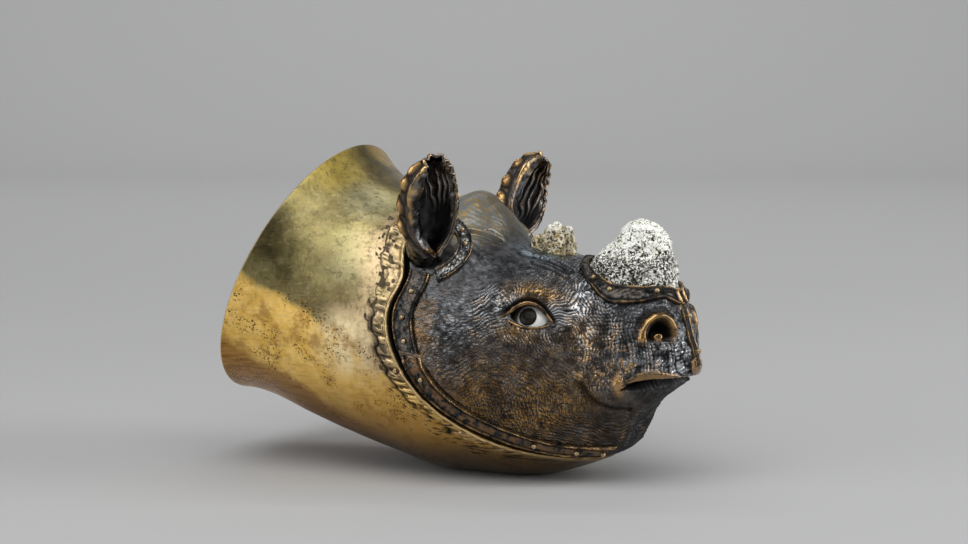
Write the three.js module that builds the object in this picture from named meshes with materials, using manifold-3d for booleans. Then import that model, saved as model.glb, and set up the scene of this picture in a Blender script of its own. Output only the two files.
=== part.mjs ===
// A rhyton: a flared brass drinking cup whose closed end is a rhinoceros head cast in bronze.
// The head sits in the front of the cup, edged with riveted straps, and carries stone horns and inlaid eyes.
// Millimetres, +Z up. The nose points along +X and the animal's left is +Y. The cup's mouth faces back and up.
// The origin is the middle of the flat under the belly, which the vessel stands on.

import * as THREE from "three";
import { mergeVertices } from "three/addons/utils/BufferGeometryUtils.js";
import Module from "manifold-3d";

const wasm = await Module();
wasm.setup();

// Clearance that every two neighbouring pieces keep
const FIT_GAP = 0.3;

// Cup
const MOUTH_DIAMETER = 98.5;
const MOUTH_SETBACK = 73; // centre of the mouth, behind the foot
const MOUTH_HEIGHT = 66.8;
const MOUTH_TILT = 26.2; // degrees that the mouth leans back
const FLARE_LENGTH = 16;
const THROAT_DIAMETER = 89.5; // where the flare ends
const BODY_DIAMETER = 87;
const BELLY_DROP = 0.9; // how far the round belly would reach below the flat that it stands on
const CUP_WALL = 1.6;
const BORDER_WIDTH = 8; // raised border along the front edge
const BORDER_RISE = 0.9;

// Bowl soldered into the cup, which closes it behind the head
const BOWL_SETBACK = 45; // centre of its rim, behind the foot
const BOWL_DEPTH = 15;
const BOWL_WALL = 1.4;

// Head
const LIP_REACH = 75; // tip of the upper lip, ahead of the foot
const LIP_HEIGHT = 39.7;
const HEAD_WIDTH = 84; // across the cheeks
const HEAD_HEIGHT = 86; // of the brow's ridge over the floor
const HEAD_WALL = 3.3;
const NOSE_WALL = 7; // the casting is thicker where the snout closes
const TONGUE_REACH = 5; // how far the head's tongue goes in behind the cup's edge

// Seam between cup and head: seen from the side, an upright line that turns into a quarter ellipse
const SEAM_CENTRE_X = 51.5;
const SEAM_CENTRE_Z = 60.5;
const SEAM_REACH = 69;
const SEAM_DROP = 51.5;
const SEAM_BOW = 3.2; // forwards, on the flank below the ears
const SEAM_BOW_Z = 69;
const SEAM_BOW_SPREAD = 7;
const SEAM_GAP = 1.2;

// Straps
const STRAP_LIFT = 0.5; // between a strap and the skin
const STRAP_THICKNESS = 1.1;
const STRAP_BEAD = 0.5; // how far a strap's edges stand above its face
const STRAP_INSET = 0.4; // between a strap's edge and the seam
const CHEEK_STRAP_WIDTH = 7;
const JAW_STRAP_WIDTH = 4.4;
const EAR_STRAP_WIDTH = 4.6;
const EAR_STRAP_RADIUS = 10;
const EAR_STRAP_RISE = 3; // its middle, above the ear's foot
const COLLAR_WIDTH = 5;
const NOSE_STRAP_WIDTH = 4.6;
const NOSE_STRAP_GAP = 0.8; // its upper end, below the collar
const NOSE_STRAP_END = 1.9; // its lower end, above the tip of the lip

// Rivets
const RIVET_HEAD_DIAMETER = 2.6;
const RIVET_HEAD_HEIGHT = 0.9;
const RIVET_SHANK_DIAMETER = 1.2;
const RIVET_GRIP = 3.6; // shank length under the rivet's head
const PIN_END = 1.2; // length of a head pin that shows inside the tongue

// Front horn
const HORN_SETBACK = 23.4; // middle of its base, behind the tip of the lip
const HORN_LENGTH = 31; // of its base, along the nose
const HORN_WIDTH = 25;
const HORN_RISE = 18.7; // of its tip over the skin
const HORN_LEAN = 3.4; // how far the tip lies ahead of the middle of the base

// Rear horn
const REAR_HORN_SETBACK = 28.4; // behind the front horn
const REAR_HORN_LENGTH = 15.5;
const REAR_HORN_WIDTH = 13;
const REAR_HORN_RISE = 9.5; // of its highest knob over the skin

// Ears
const EAR_X = -11;
const EAR_DROP = 9.5; // middle of its foot, below the brow's ridge
const LEFT_EAR_LENGTH = 33.5; // the two were formed by hand
const RIGHT_EAR_LENGTH = 37;
const EAR_WIDTH = 19.5;
const EAR_WALL = 2.2;
const EAR_SPLAY = 27; // degrees outwards
const EAR_LEAN = 24; // degrees forwards
const LEFT_EAR_TURN = -4; // degrees that its open side faces outwards from straight ahead
const RIGHT_EAR_TURN = 27;
const EAR_PEG_DIAMETER = 6;
const EAR_PEG_END = 1.5; // length of peg that shows inside the head

// Eyes
const EYE_X = 28.5;
const EYE_Z = 57.5;
const EYE_DIAMETER = 13;
const EYE_LENGTH = 13; // of the opening between the lids
const EYE_UPPER_RISE = 4;
const EYE_LOWER_DROP = 2.7;
const EYE_SET = 1.6; // how far the eyeball's front lies behind the skin around it
const EYE_THICKNESS = 4.2; // the eye is an inlay with a flat back
const EYE_SEAT = 2.4; // metal left round and behind it
const LID_DIAMETER = 2.8;
const IRIS_DIAMETER = 6.2;
const IRIS_DEPTH = 1.6;
const IRIS_DOME = 0.5;

// Nostrils and mouth
const NOSTRIL_SETBACK = 8; // behind the tip of the lip
const NOSTRIL_Z = 54;
const NOSTRIL_LENGTH = 10.5;
const NOSTRIL_HEIGHT = 7.5;
const NOSTRIL_DEPTH = 3;
const NOSTRIL_RIM_DIAMETER = 3;
const MOUTH_SLIT_LENGTH = 17; // from the corner of the mouth to the tip of the lip
const MOUTH_SLIT_Z = 35.4;
const MOUTH_SLIT_HEIGHT = 1.8;
const MOUTH_SLIT_DEPTH = 2.4;

// Facets
const ROUND_STEPS = 36;
const HEAD_ROWS = 22;
const HEAD_INNER_ROWS = 5;
const CUP_ROWS = 7;
const CUP_INNER_ROWS = 4;

const radians = THREE.MathUtils.degToRad;
const X = new THREE.Vector3(1, 0, 0);
const Y = new THREE.Vector3(0, 1, 0);
const Z = new THREE.Vector3(0, 0, 1);
const SIDES = { left: 1, right: -1 };

// A list of count evenly spaced numbers, both ends included
function spaced(from, to, count) {
  return Array.from({ length: count }, (_, i) => from + ((to - from) * i) / (count - 1));
}

// A curve through points that never overshoots them
function smoothThrough(xs, ys) {
  const rises = xs.slice(1).map((x, i) => (ys[i + 1] - ys[i]) / (x - xs[i]));
  const slopes = xs.map((_, i) => {
    if (i === 0) return rises[0];
    if (i === rises.length) return rises[i - 1];
    const turnsBack = rises[i - 1] * rises[i] <= 0;
    return turnsBack ? 0 : (2 * rises[i - 1] * rises[i]) / (rises[i - 1] + rises[i]);
  });
  return (at) => {
    const x = THREE.MathUtils.clamp(at, xs[0], xs[xs.length - 1]);
    const next = xs.findIndex((limit, i) => i > 0 && x <= limit);
    const i = next - 1;
    const span = xs[next] - xs[i];
    const t = (x - xs[i]) / span;
    const back = 1 - t;
    return (
      ys[i] * (1 + 2 * t) * back * back +
      slopes[i] * span * t * back * back +
      ys[next] * t * t * (3 - 2 * t) -
      slopes[next] * span * t * t * back
    );
  };
}

// The body's sections, from the mouth of the cup to the tip of the lip.
// Each is an oval about a point of the spine, leaning back by tilt degrees. Above square 2 it gets fuller.
function roundSection(x, z, tilt, diameter) {
  return { x, z, tilt, half: diameter / 2, up: diameter / 2, down: diameter / 2, square: 2 };
}

function cupSection(depth, diameter) {
  const tilt = radians(MOUTH_TILT);
  const x = -MOUTH_SETBACK + depth * Math.cos(tilt);
  return roundSection(x, MOUTH_HEIGHT - depth * Math.sin(tilt), MOUTH_TILT, diameter);
}

// The head's tables are drawn for a lip reach of 75, a width of 84 and a height of 86, and stretch with them.
const STRETCH = new THREE.Vector3(LIP_REACH / 75, HEAD_WIDTH / 84, HEAD_HEIGHT / 86);

function faceSection(x, waist, half, top, bottom, square) {
  const up = (top - waist) * STRETCH.z;
  const down = (waist - bottom) * STRETCH.z + BELLY_DROP;
  return { x: x * STRETCH.x, z: waist * STRETCH.z, tilt: 0, half: half * STRETCH.y, up, down, square };
}

// Height of the spine between the head, at share 0, and the middle of the mouth, at share 1
function spineHeight(share) {
  return THREE.MathUtils.lerp(43.5 * STRETCH.z, MOUTH_HEIGHT, share);
}

const FLARE_KNEE = 0.4; // share of the flare's length where it has lost most of its spread
const FLARE_LEFT = 0.42; // share of the spread that is left there
const SECTIONS = [
  cupSection(0, MOUTH_DIAMETER),
  cupSection(FLARE_LENGTH * FLARE_KNEE, THROAT_DIAMETER + (MOUTH_DIAMETER - THROAT_DIAMETER) * FLARE_LEFT),
  cupSection(FLARE_LENGTH, THROAT_DIAMETER),
  roundSection(-0.61 * MOUTH_SETBACK, spineHeight(0.45), 20, (THROAT_DIAMETER + BODY_DIAMETER) / 2),
  roundSection(-0.35 * MOUTH_SETBACK, spineHeight(0.167), 13, BODY_DIAMETER),
  { ...faceSection(0, 43.5, 43, 86.7, -0.6, 2), x: -0.137 * MOUTH_SETBACK, z: spineHeight(0.039), tilt: 5 },
  faceSection(0, 43.5, 42, 86, 0.1, 2),
  faceSection(10, 43, 39.5, 80, 0, 2.05),
  faceSection(20, 42.5, 36, 77, 0.7, 2.1),
  faceSection(30, 42, 32, 75.5, 3.1, 2.15),
  faceSection(40, 42, 27.5, 72, 6.7, 2.2),
  faceSection(48, 42, 24.5, 70.7, 10.4, 2.25),
  faceSection(52, 42.2, 23.2, 70.2, 13, 2.3),
  faceSection(55, 42.5, 22.4, 69.8, 20.9, 2.35),
  faceSection(60, 43, 20.6, 68.6, 27.5, 2.4),
  faceSection(66, 43.5, 17, 66.6, 32.3, 2.4),
  faceSection(69, 43.5, 13.8, 60.8, 34.5, 2.3),
  faceSection(72, 42.5, 9, 50, 36.7, 2.2),
  faceSection(74, 41, 4.6, 44, 38.5, 2.1),
  { x: LIP_REACH, z: LIP_HEIGHT, tilt: 0, half: 0, up: 0, down: 0, square: 2 },
];
const STATIONS = SECTIONS.map((section) => section.x);
const TRAITS = ["z", "tilt", "half", "up", "down", "square"];
const along = Object.fromEntries(
  TRAITS.map((trait) => [trait, smoothThrough(STATIONS, SECTIONS.map((section) => section[trait]))]),
);

// A point of the plain body. x picks the section, and turn goes round it: belly -90, left 0, crown 90 degrees.
// inset shrinks the section, and ahead takes its sizes from further forward.
function bodyPoint(x, turn, inset = 0, ahead = 0) {
  const from = x + ahead;
  const tilt = radians(along.tilt(from));
  const power = 2 / along.square(from);
  const across = Math.cos(turn);
  const upwards = Math.sin(turn);
  const half = Math.max(along.half(from) - inset, 0);
  const rise = Math.max((upwards > 0 ? along.up(from) : along.down(from)) - inset, 0);
  const y = half * Math.sign(across) * Math.abs(across) ** power;
  const v = rise * Math.sign(upwards) * Math.abs(upwards) ** power;
  return new THREE.Vector3(x + Math.sin(tilt) * v, y, along.z(from) + Math.cos(tilt) * v);
}

function bodyNormal(x, turn) {
  const stepX = 0.2;
  const stepTurn = 0.02;
  const ahead = bodyPoint(x + stepX, turn).sub(bodyPoint(x - stepX, turn));
  const around = bodyPoint(x, turn + stepTurn).sub(bodyPoint(x, turn - stepTurn));
  return around.cross(ahead).normalize();
}

// Soft swellings and hollows of the head, alike on both sides: where, how far they reach each way and how high
const RELIEF = [
  { name: "crown", at: [-6, 0, 88], reach: [10, 15, 30], rise: 9 },
  { name: "brow", at: [27, 30, 65], reach: [9, 9, 4.5], rise: 2.6 },
  { name: "under the eye", at: [29, 31, 50], reach: [9, 12, 4], rise: 1.2 },
  { name: "temple", at: [8, 36, 66], reach: [9, 14, 8], rise: -2 },
  { name: "cheek", at: [4, 40, 38], reach: [15, 22, 14], rise: 2 },
  { name: "hollow before the eye", at: [46, 25, 54], reach: [6, 10, 10], rise: -2.4 },
  { name: "muzzle", at: [66, 16, 47], reach: [6, 8, 8], rise: 1.2 },
  { name: "corner of the mouth", at: [55, 22, 36], reach: [4, 8, 5], rise: 2.2 },
  { name: "upper lip", at: [68, 13, 38.6], reach: [7, 10, 2.4], rise: 1.4 },
  { name: "jaw", at: [36, 26, 22], reach: [14, 14, 8], rise: 1.2 },
];

function relief(p) {
  const drawn = p.clone().divide(STRETCH);
  const bump = ({ at, reach, rise }) => {
    const away = [drawn.x, Math.abs(drawn.y), drawn.z].map((value, i) => (value - at[i]) / reach[i]);
    return rise * STRETCH.z * Math.exp(-away.reduce((sum, a) => sum + a * a, 0));
  };
  return RELIEF.reduce((sum, feature) => sum + bump(feature), 0);
}

// A point of the head's skin, or lifted off it
function skinPoint(x, turn, lift = 0) {
  const p = bodyPoint(x, turn);
  return p.clone().addScaledVector(bodyNormal(x, turn), relief(p) + lift);
}

// The place on the skin that a point falls on, going square to the directions e1 and e2.
function skinUnder(point, e1, e2, start) {
  const place = { ...start };
  const miss = (x, turn) => {
    const off = skinPoint(x, turn).sub(point);
    return [off.dot(e1), off.dot(e2)];
  };
  const rounds = 12;
  const stepX = 0.05;
  const stepTurn = 0.004;
  const farthest = 0.25; // of turn, in one round
  for (let i = 0; i < rounds; i++) {
    const [a, b] = miss(place.x, place.turn);
    const [ax, bx] = miss(place.x + stepX, place.turn).map((m, k) => (m - [a, b][k]) / stepX);
    const [at, bt] = miss(place.x, place.turn + stepTurn).map((m, k) => (m - [a, b][k]) / stepTurn);
    const det = ax * bt - at * bx;
    place.x = Math.min(place.x - (a * bt - b * at) / det, LIP_REACH - stepX);
    place.turn -= THREE.MathUtils.clamp((b * ax - a * bx) / det, -farthest, farthest);
  }
  return place;
}

// The place on the left flank that shows at x and z in the side view
function flankPlace(x, z) {
  const high = z - along.z(x);
  const turn = Math.asin(THREE.MathUtils.clamp(high / (high > 0 ? along.up(x) : along.down(x)), -0.95, 0.95));
  return skinUnder(new THREE.Vector3(x, 0, z), X, Z, { x, turn });
}

// The place on top of the head that shows at x and y in the top view
function topPlace(x, y) {
  const turn = Math.acos(THREE.MathUtils.clamp(y / along.half(x), -0.9, 0.9));
  return skinUnder(new THREE.Vector3(x, y, 0), X, Y, { x, turn });
}

// Height of the skin along the middle of the head
function skinTop(x) {
  const place = topPlace(x, 0);
  return skinPoint(place.x, place.turn).z;
}

// A frame on the skin: the point, the way out, and the ways forward and up along the skin
function skinFrame({ x, turn }, lift = 0) {
  const out = bodyNormal(x, turn);
  const forward = X.clone().addScaledVector(out, -X.dot(out)).normalize();
  return { at: skinPoint(x, turn, lift), out, forward, up: forward.clone().cross(out) };
}

// Signed place of a point beside the seam, above 0 on the head's side. The seam can be grown back and down.
function beyondSeam(p, back = 0, down = back) {
  const reach = SEAM_REACH + back;
  const drop = SEAM_DROP + down;
  const bow = SEAM_BOW * Math.exp(-(((p.z - SEAM_BOW_Z) / SEAM_BOW_SPREAD) ** 2));
  const behind = SEAM_CENTRE_X - p.x + bow;
  if (p.z >= SEAM_CENTRE_Z) return reach - behind;
  if (behind <= 0) return p.z - SEAM_CENTRE_Z + drop;
  const away = Math.hypot(behind / reach, (SEAM_CENTRE_Z - p.z) / drop);
  return (1 - away) * Math.min(reach, drop);
}

// The section along a line of the body where that line crosses the seam
function seamX(turn, back = 0, down = back) {
  let behind = -MOUTH_SETBACK;
  let front = LIP_REACH;
  const halvings = 40;
  for (let i = 0; i < halvings; i++) {
    const middle = (behind + front) / 2;
    if (beyondSeam(bodyPoint(middle, turn), back, down) > 0) front = middle;
    else behind = middle;
  }
  return (behind + front) / 2;
}

// Solids

function solidFrom(vertProperties, triVerts) {
  const made = new wasm.Manifold(new wasm.Mesh({ numProp: 3, vertProperties, triVerts }));
  return made.volume() < 0 ? solidFrom(vertProperties, triVerts.reverse()) : made;
}

function solidOf(geometry) {
  const bare = geometry.clone();
  bare.deleteAttribute("normal");
  bare.deleteAttribute("uv");
  const merged = mergeVertices(bare);
  return solidFrom(merged.attributes.position.array, new Uint32Array(merged.index.array));
}

// A solid lofted through rings of points, closed by a fan at each end, or into a hoop
function loft(rings, { hoop = false, start, end } = {}) {
  const count = rings[0].length;
  const points = rings.flat();
  const triangles = [];
  const bands = hoop ? rings.length : rings.length - 1;
  for (let i = 0; i < bands; i++) {
    const here = i * count;
    const next = ((i + 1) % rings.length) * count;
    for (let j = 0; j < count; j++) {
      const k = (j + 1) % count;
      triangles.push(here + j, here + k, next + k, here + j, next + k, next + j);
    }
  }
  const middle = (ring) => ring.reduce((sum, p) => sum.add(p), new THREE.Vector3()).divideScalar(count);
  if (!hoop) {
    const first = points.push(start ?? middle(rings[0])) - 1;
    const last = points.push(end ?? middle(rings[rings.length - 1])) - 1;
    const lastRing = (rings.length - 1) * count;
    for (let j = 0; j < count; j++) {
      const k = (j + 1) % count;
      triangles.push(first, k, j, last, lastRing + j, lastRing + k);
    }
  }
  return solidFrom(new Float32Array(points.flatMap((p) => p.toArray())), new Uint32Array(triangles));
}

const turnAlong = (direction) => new THREE.Quaternion().setFromUnitVectors(Y, direction);

// A geometry that stands along +Y, set at a point along a direction, as a solid
function standing(geometry, at, direction) {
  const placed = new THREE.Matrix4().compose(at, turnAlong(direction), new THREE.Vector3(1, 1, 1));
  return solidOf(geometry.clone().applyMatrix4(placed));
}

function mirrored(points, side) {
  return points.map((p) => new THREE.Vector3(p.x, p.y * side, p.z));
}

const turns = Array.from({ length: ROUND_STEPS }, (_, i) => radians(-90 + (360 * i) / ROUND_STEPS));

// The whole head up to its skin, or a clearance above it, to cut what sits on it
function skinSolid(lift) {
  const rear = -MOUTH_SETBACK / 2;
  const crowding = 1.5; // rows lie closer towards the lip
  const rows = spaced(0, 1, HEAD_ROWS + 1).slice(1);
  const rings = rows.map((t) =>
    turns.map((turn) => skinPoint(LIP_REACH + (rear - LIP_REACH) * t ** crowding, turn, lift)),
  );
  return loft(rings, { start: new THREE.Vector3(LIP_REACH + lift, 0, LIP_HEIGHT) });
}

// Cup: a shell from the mouth to the seam, with a rounded lip, a raised border along the seam and a flat foot
function makeCup() {
  const mouth = -MOUTH_SETBACK;
  // The border dies out under the belly
  const fade = (p) => THREE.MathUtils.smoothstep(p.z, BORDER_WIDTH, 3 * BORDER_WIDTH);
  const outside = (back, rise) =>
    turns.map((turn) => {
      const x = seamX(turn, SEAM_GAP + back);
      const p = bodyPoint(x, turn);
      return p.addScaledVector(bodyNormal(x, turn), rise * fade(p));
    });
  const wall = (inset, rows) =>
    rows.map((t) =>
      turns.map((turn) => bodyPoint(mouth + (seamX(turn, SEAM_GAP + BORDER_WIDTH) - mouth) * t, turn, inset)),
    );
  const borderRows = [0.7, 0.3, 0];
  const inside = (back) => turns.map((turn) => bodyPoint(seamX(turn, SEAM_GAP + back), turn, CUP_WALL));
  const lipRound = CUP_WALL / 4;
  const lip = turns.map((turn) => bodyPoint(mouth, turn, CUP_WALL / 2).addScaledVector(X, -lipRound));
  const rings = [
    ...wall(0, spaced(0, 1, CUP_ROWS)),
    ...borderRows.map((share) => outside(BORDER_WIDTH * share, share > 0 ? BORDER_RISE : BORDER_RISE / 2)),
    ...borderRows.map((share) => inside(BORDER_WIDTH * share)).reverse(),
    ...wall(CUP_WALL, spaced(1, 0, CUP_INNER_ROWS)),
    lip,
  ];
  const floor = new THREE.BoxGeometry(4 * MOUTH_DIAMETER, 4 * MOUTH_DIAMETER, 4 * MOUTH_DIAMETER);
  floor.translate(0, 0, -2 * MOUTH_DIAMETER);
  return loft(rings, { hoop: true }).subtract(solidOf(floor));
}

// Bowl: a dish across the cup, square to its spine, with its rim against the cup's wall
function makeBowl() {
  const x = -BOWL_SETBACK;
  const radius = along.half(x) - CUP_WALL - 2 * FIT_GAP;
  const rim = 2 * BOWL_WALL; // height of the upright band at its edge
  const steps = 5;
  const dish = (r, depth) =>
    spaced(0, Math.PI / 2, steps).map((a) => new THREE.Vector2(r * Math.sin(a), depth * Math.cos(a)));
  const outside = [...dish(radius, BOWL_DEPTH), new THREE.Vector2(radius, -rim)];
  const inside = dish(radius - BOWL_WALL, BOWL_DEPTH - BOWL_WALL).reverse();
  const profile = [...outside, new THREE.Vector2(radius - BOWL_WALL, -rim), ...inside];
  profile[0].x = 0;
  profile[profile.length - 1].x = 0;
  const tilt = radians(along.tilt(x));
  const inwards = new THREE.Vector3(Math.cos(tilt), 0, -Math.sin(tilt));
  return standing(new THREE.LatheGeometry(profile, 24), new THREE.Vector3(x, 0, along.z(x)), inwards);
}

// Head: a hollow casting, open at the back, with a tongue that goes in behind the cup's edge
function makeHeadShell() {
  const crowding = 1.5; // rows lie closer towards the lip
  const seams = turns.map((turn) => seamX(turn));
  const backs = turns.map((turn) => seamX(turn, TONGUE_REACH));
  const tongueMiddle = turns.map((turn) => bodyPoint(seamX(turn, TONGUE_REACH / 2), turn, CUP_WALL + FIT_GAP));
  const tongueInset = CUP_WALL + FIT_GAP;
  const outer = spaced(0, 1, HEAD_ROWS + 1).slice(1);
  const inner = spaced(0, 1, HEAD_INNER_ROWS + 1).slice(0, -1);
  const innerTip = LIP_REACH - NOSE_WALL;
  const rings = [
    ...outer.map((t) =>
      turns.map((turn, i) => skinPoint(LIP_REACH + (seams[i] - LIP_REACH) * t ** crowding, turn)),
    ),
    turns.map((turn, i) => bodyPoint(seams[i], turn, tongueInset)),
    tongueMiddle,
    turns.map((turn, i) => bodyPoint(backs[i], turn, tongueInset)),
    ...inner.map((t) =>
      turns.map((turn, i) => bodyPoint(backs[i] + (innerTip - backs[i]) * t, turn, HEAD_WALL, HEAD_WALL * t)),
    ),
  ];
  const end = new THREE.Vector3(innerTip - HEAD_WALL, 0, along.z(innerTip));
  return loft(rings, { start: new THREE.Vector3(LIP_REACH, 0, LIP_HEIGHT), end });
}

// Eyes: the opening between the lids is an almond about a point of the flank
const eyeFrame = skinFrame(flankPlace(EYE_X, EYE_Z));
const eyeCentre = eyeFrame.at.clone().addScaledVector(eyeFrame.out, -EYE_SET - EYE_DIAMETER / 2);

function almond(count) {
  return Array.from({ length: count }, (_, i) => {
    const a = (2 * Math.PI * i) / count;
    const high = Math.sin(a) > 0 ? EYE_UPPER_RISE : EYE_LOWER_DROP;
    const pinch = Math.abs(Math.sin(a)) ** 1.25; // draws the corners out to points
    return new THREE.Vector2((EYE_LENGTH / 2) * Math.cos(a), high * Math.sign(Math.sin(a)) * pinch);
  });
}

// A round about the eye's axis that ends at a depth behind the eye's front
function eyeRound(radius, length, depth) {
  const middle = eyeCentre.clone().addScaledVector(eyeFrame.out, EYE_DIAMETER / 2 - depth + length / 2);
  return standing(new THREE.CylinderGeometry(radius, radius, length, 14), middle, eyeFrame.out);
}

// The eye, or with a clearance the socket that it sits in
function eyeBall(clearance) {
  const ball = new THREE.SphereGeometry(EYE_DIAMETER / 2 + clearance, 12, 7).translate(...eyeCentre.toArray());
  return solidOf(ball).intersect(eyeRound(EYE_DIAMETER, EYE_DIAMETER, EYE_THICKNESS + clearance));
}

function eyeOpening() {
  const shape = new THREE.Shape(almond(14));
  const depth = EYE_DIAMETER + EYE_SET;
  const prism = new THREE.ExtrudeGeometry(shape, { depth, bevelEnabled: false });
  const turned = new THREE.Matrix4().makeBasis(eyeFrame.forward.clone().negate(), eyeFrame.up, eyeFrame.out);
  return solidOf(prism.applyMatrix4(turned.setPosition(eyeCentre)));
}

// A round bead along a path of points, each with the way out of the surface below it
function bead(path, diameter, { hoop = false, sides = 5 } = {}) {
  const rings = path.map(({ at, out }, i) => {
    const before = path[hoop ? (i + path.length - 1) % path.length : Math.max(i - 1, 0)].at;
    const after = path[hoop ? (i + 1) % path.length : Math.min(i + 1, path.length - 1)].at;
    const side = after.clone().sub(before).cross(out).normalize();
    return Array.from({ length: sides }, (_, k) => {
      const a = (2 * Math.PI * k) / sides;
      const p = at.clone().addScaledVector(side, (diameter / 2) * Math.cos(a));
      return p.addScaledVector(out, (diameter / 2) * Math.sin(a));
    });
  });
  return loft(rings, { hoop });
}

function eyelids() {
  const spread = 1.1; // so that the opening trims the beads on their inner side
  const path = almond(14).map((p) => {
    const at = eyeFrame.at.clone().addScaledVector(eyeFrame.forward, p.x * spread);
    at.addScaledVector(eyeFrame.up, p.y * spread);
    const place = skinUnder(at, eyeFrame.forward, eyeFrame.up, flankPlace(EYE_X, EYE_Z));
    return { at: skinPoint(place.x, place.turn), out: eyeFrame.out };
  });
  return bead(path, LID_DIAMETER, { hoop: true });
}

// Nostrils: a hollow under an arched rim
const nostrilPlace = flankPlace(LIP_REACH - NOSTRIL_SETBACK, NOSTRIL_Z);
const nostrilFrame = skinFrame(nostrilPlace);

function nostrilHollow() {
  const ball = new THREE.SphereGeometry(1, 10, 8);
  ball.scale(NOSTRIL_LENGTH / 2, NOSTRIL_HEIGHT / 2, NOSTRIL_DEPTH);
  const rearwards = nostrilFrame.forward.clone().negate();
  const turned = new THREE.Matrix4().makeBasis(rearwards, nostrilFrame.up, nostrilFrame.out);
  return solidOf(ball.applyMatrix4(turned.setPosition(nostrilFrame.at)));
}

function nostrilRim() {
  const path = spaced(radians(-35), radians(215), 11).map((a) => {
    const at = nostrilFrame.at.clone();
    at.addScaledVector(nostrilFrame.forward, (NOSTRIL_LENGTH / 2) * Math.cos(a));
    at.addScaledVector(nostrilFrame.up, (NOSTRIL_HEIGHT / 2) * Math.sin(a));
    const place = skinUnder(at, nostrilFrame.forward, nostrilFrame.up, nostrilPlace);
    return { at: skinPoint(place.x, place.turn), out: nostrilFrame.out };
  });
  return bead(path, NOSTRIL_RIM_DIAMETER);
}

// Mouth: a groove round the snout, no deeper than MOUTH_SLIT_DEPTH
function mouthSlit() {
  const corner = LIP_REACH - MOUTH_SLIT_LENGTH;
  const outline = new THREE.Shape([
    new THREE.Vector2(corner, MOUTH_SLIT_Z - MOUTH_SLIT_HEIGHT / 2),
    new THREE.Vector2(LIP_REACH + MOUTH_SLIT_DEPTH, MOUTH_SLIT_Z - MOUTH_SLIT_HEIGHT / 2),
    new THREE.Vector2(LIP_REACH + MOUTH_SLIT_DEPTH, MOUTH_SLIT_Z + MOUTH_SLIT_HEIGHT / 2),
    new THREE.Vector2(corner, MOUTH_SLIT_Z + MOUTH_SLIT_HEIGHT / 2),
  ]);
  const depth = MOUTH_DIAMETER;
  const slab = new THREE.ExtrudeGeometry(outline, { depth, bevelEnabled: false });
  slab.rotateX(Math.PI / 2).translate(0, depth / 2, 0);
  return solidOf(slab).subtract(skinSolid(-MOUTH_SLIT_DEPTH));
}

// Straps: bands that lie on the skin, with a bead along both edges

// A strap's solid from its courses: places across the strap, one list for each step along it
function strapSolid(courses, side, options) {
  const lastPlace = courses[0].length - 1;
  const rings = courses.map((places) => {
    const under = places.map(({ x, turn }) => skinPoint(x, turn, STRAP_LIFT));
    const over = places.map(({ x, turn }, i) => {
      const edge = i === 0 || i === lastPlace ? STRAP_BEAD : 0;
      return skinPoint(x, turn, STRAP_LIFT + STRAP_THICKNESS + edge);
    });
    return mirrored([...under, ...over.reverse()], side);
  });
  return loft(rings, options);
}

const STRAP_ACROSS = [0, 0.18, 0.82, 1];

// A strap beside the seam, between two turns round the body, and the places of its rivets along its middle
function seamCourse(turn, share) {
  const back = -STRAP_INSET - CHEEK_STRAP_WIDTH * share;
  const down = -STRAP_INSET - JAW_STRAP_WIDTH * share;
  return { x: seamX(turn, back, down), turn };
}

function seamStrap(from, to, count, side) {
  const courses = spaced(radians(from), radians(to), count).map((turn) =>
    STRAP_ACROSS.map((share) => seamCourse(turn, share)),
  );
  return strapSolid(courses, side);
}

// The strap that curls round the front of an ear
const earPlace = flankPlace(EAR_X, HEAD_HEIGHT - EAR_DROP);
const earFrame = skinFrame(earPlace);

function earCourse(angle, share) {
  const r = EAR_STRAP_RADIUS + EAR_STRAP_WIDTH * share;
  const at = earFrame.at.clone().addScaledVector(earFrame.forward, r * Math.cos(radians(angle)));
  at.addScaledVector(earFrame.up, EAR_STRAP_RISE + r * Math.sin(radians(angle)));
  return skinUnder(at, earFrame.forward, earFrame.up, earPlace);
}

function earStrap(side) {
  const courses = spaced(75, -60, 13).map((angle) => STRAP_ACROSS.map((share) => earCourse(angle, share)));
  return strapSolid(courses, side);
}

// The collar round the front horn
const hornX = LIP_REACH - HORN_SETBACK;

function collarCourse(angle, share) {
  const spread = FIT_GAP + COLLAR_WIDTH * share;
  const x = hornX + (HORN_LENGTH / 2 + spread * 0.4) * Math.cos(radians(angle));
  const y = (HORN_WIDTH / 2 + spread) * Math.sin(radians(angle));
  return topPlace(x, y);
}

function makeCollar() {
  const count = 24;
  const courses = Array.from({ length: count }, (_, i) =>
    STRAP_ACROSS.map((share) => collarCourse((360 * i) / count, share)),
  );
  return strapSolid(courses, SIDES.left, { hoop: true });
}

// The strap down the middle of the nose, from the collar to just above the tip of the lip
const collarFoot = collarCourse(0, 1);
const noseStrapTop = skinPoint(collarFoot.x, collarFoot.turn).z - NOSE_STRAP_GAP;

function nosePlace(t, share) {
  const z = THREE.MathUtils.lerp(noseStrapTop, LIP_HEIGHT + NOSE_STRAP_END, t);
  const point = new THREE.Vector3(0, NOSE_STRAP_WIDTH * (share - 0.5), z);
  return skinUnder(point, Y, Z, { x: LIP_REACH - NOSE_STRAP_WIDTH, turn: radians(90) });
}

function makeNoseStrap() {
  const courses = spaced(0, 1, 9).map((t) => STRAP_ACROSS.map((share) => nosePlace(t, 1 - share)));
  return strapSolid(courses, SIDES.left);
}

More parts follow.
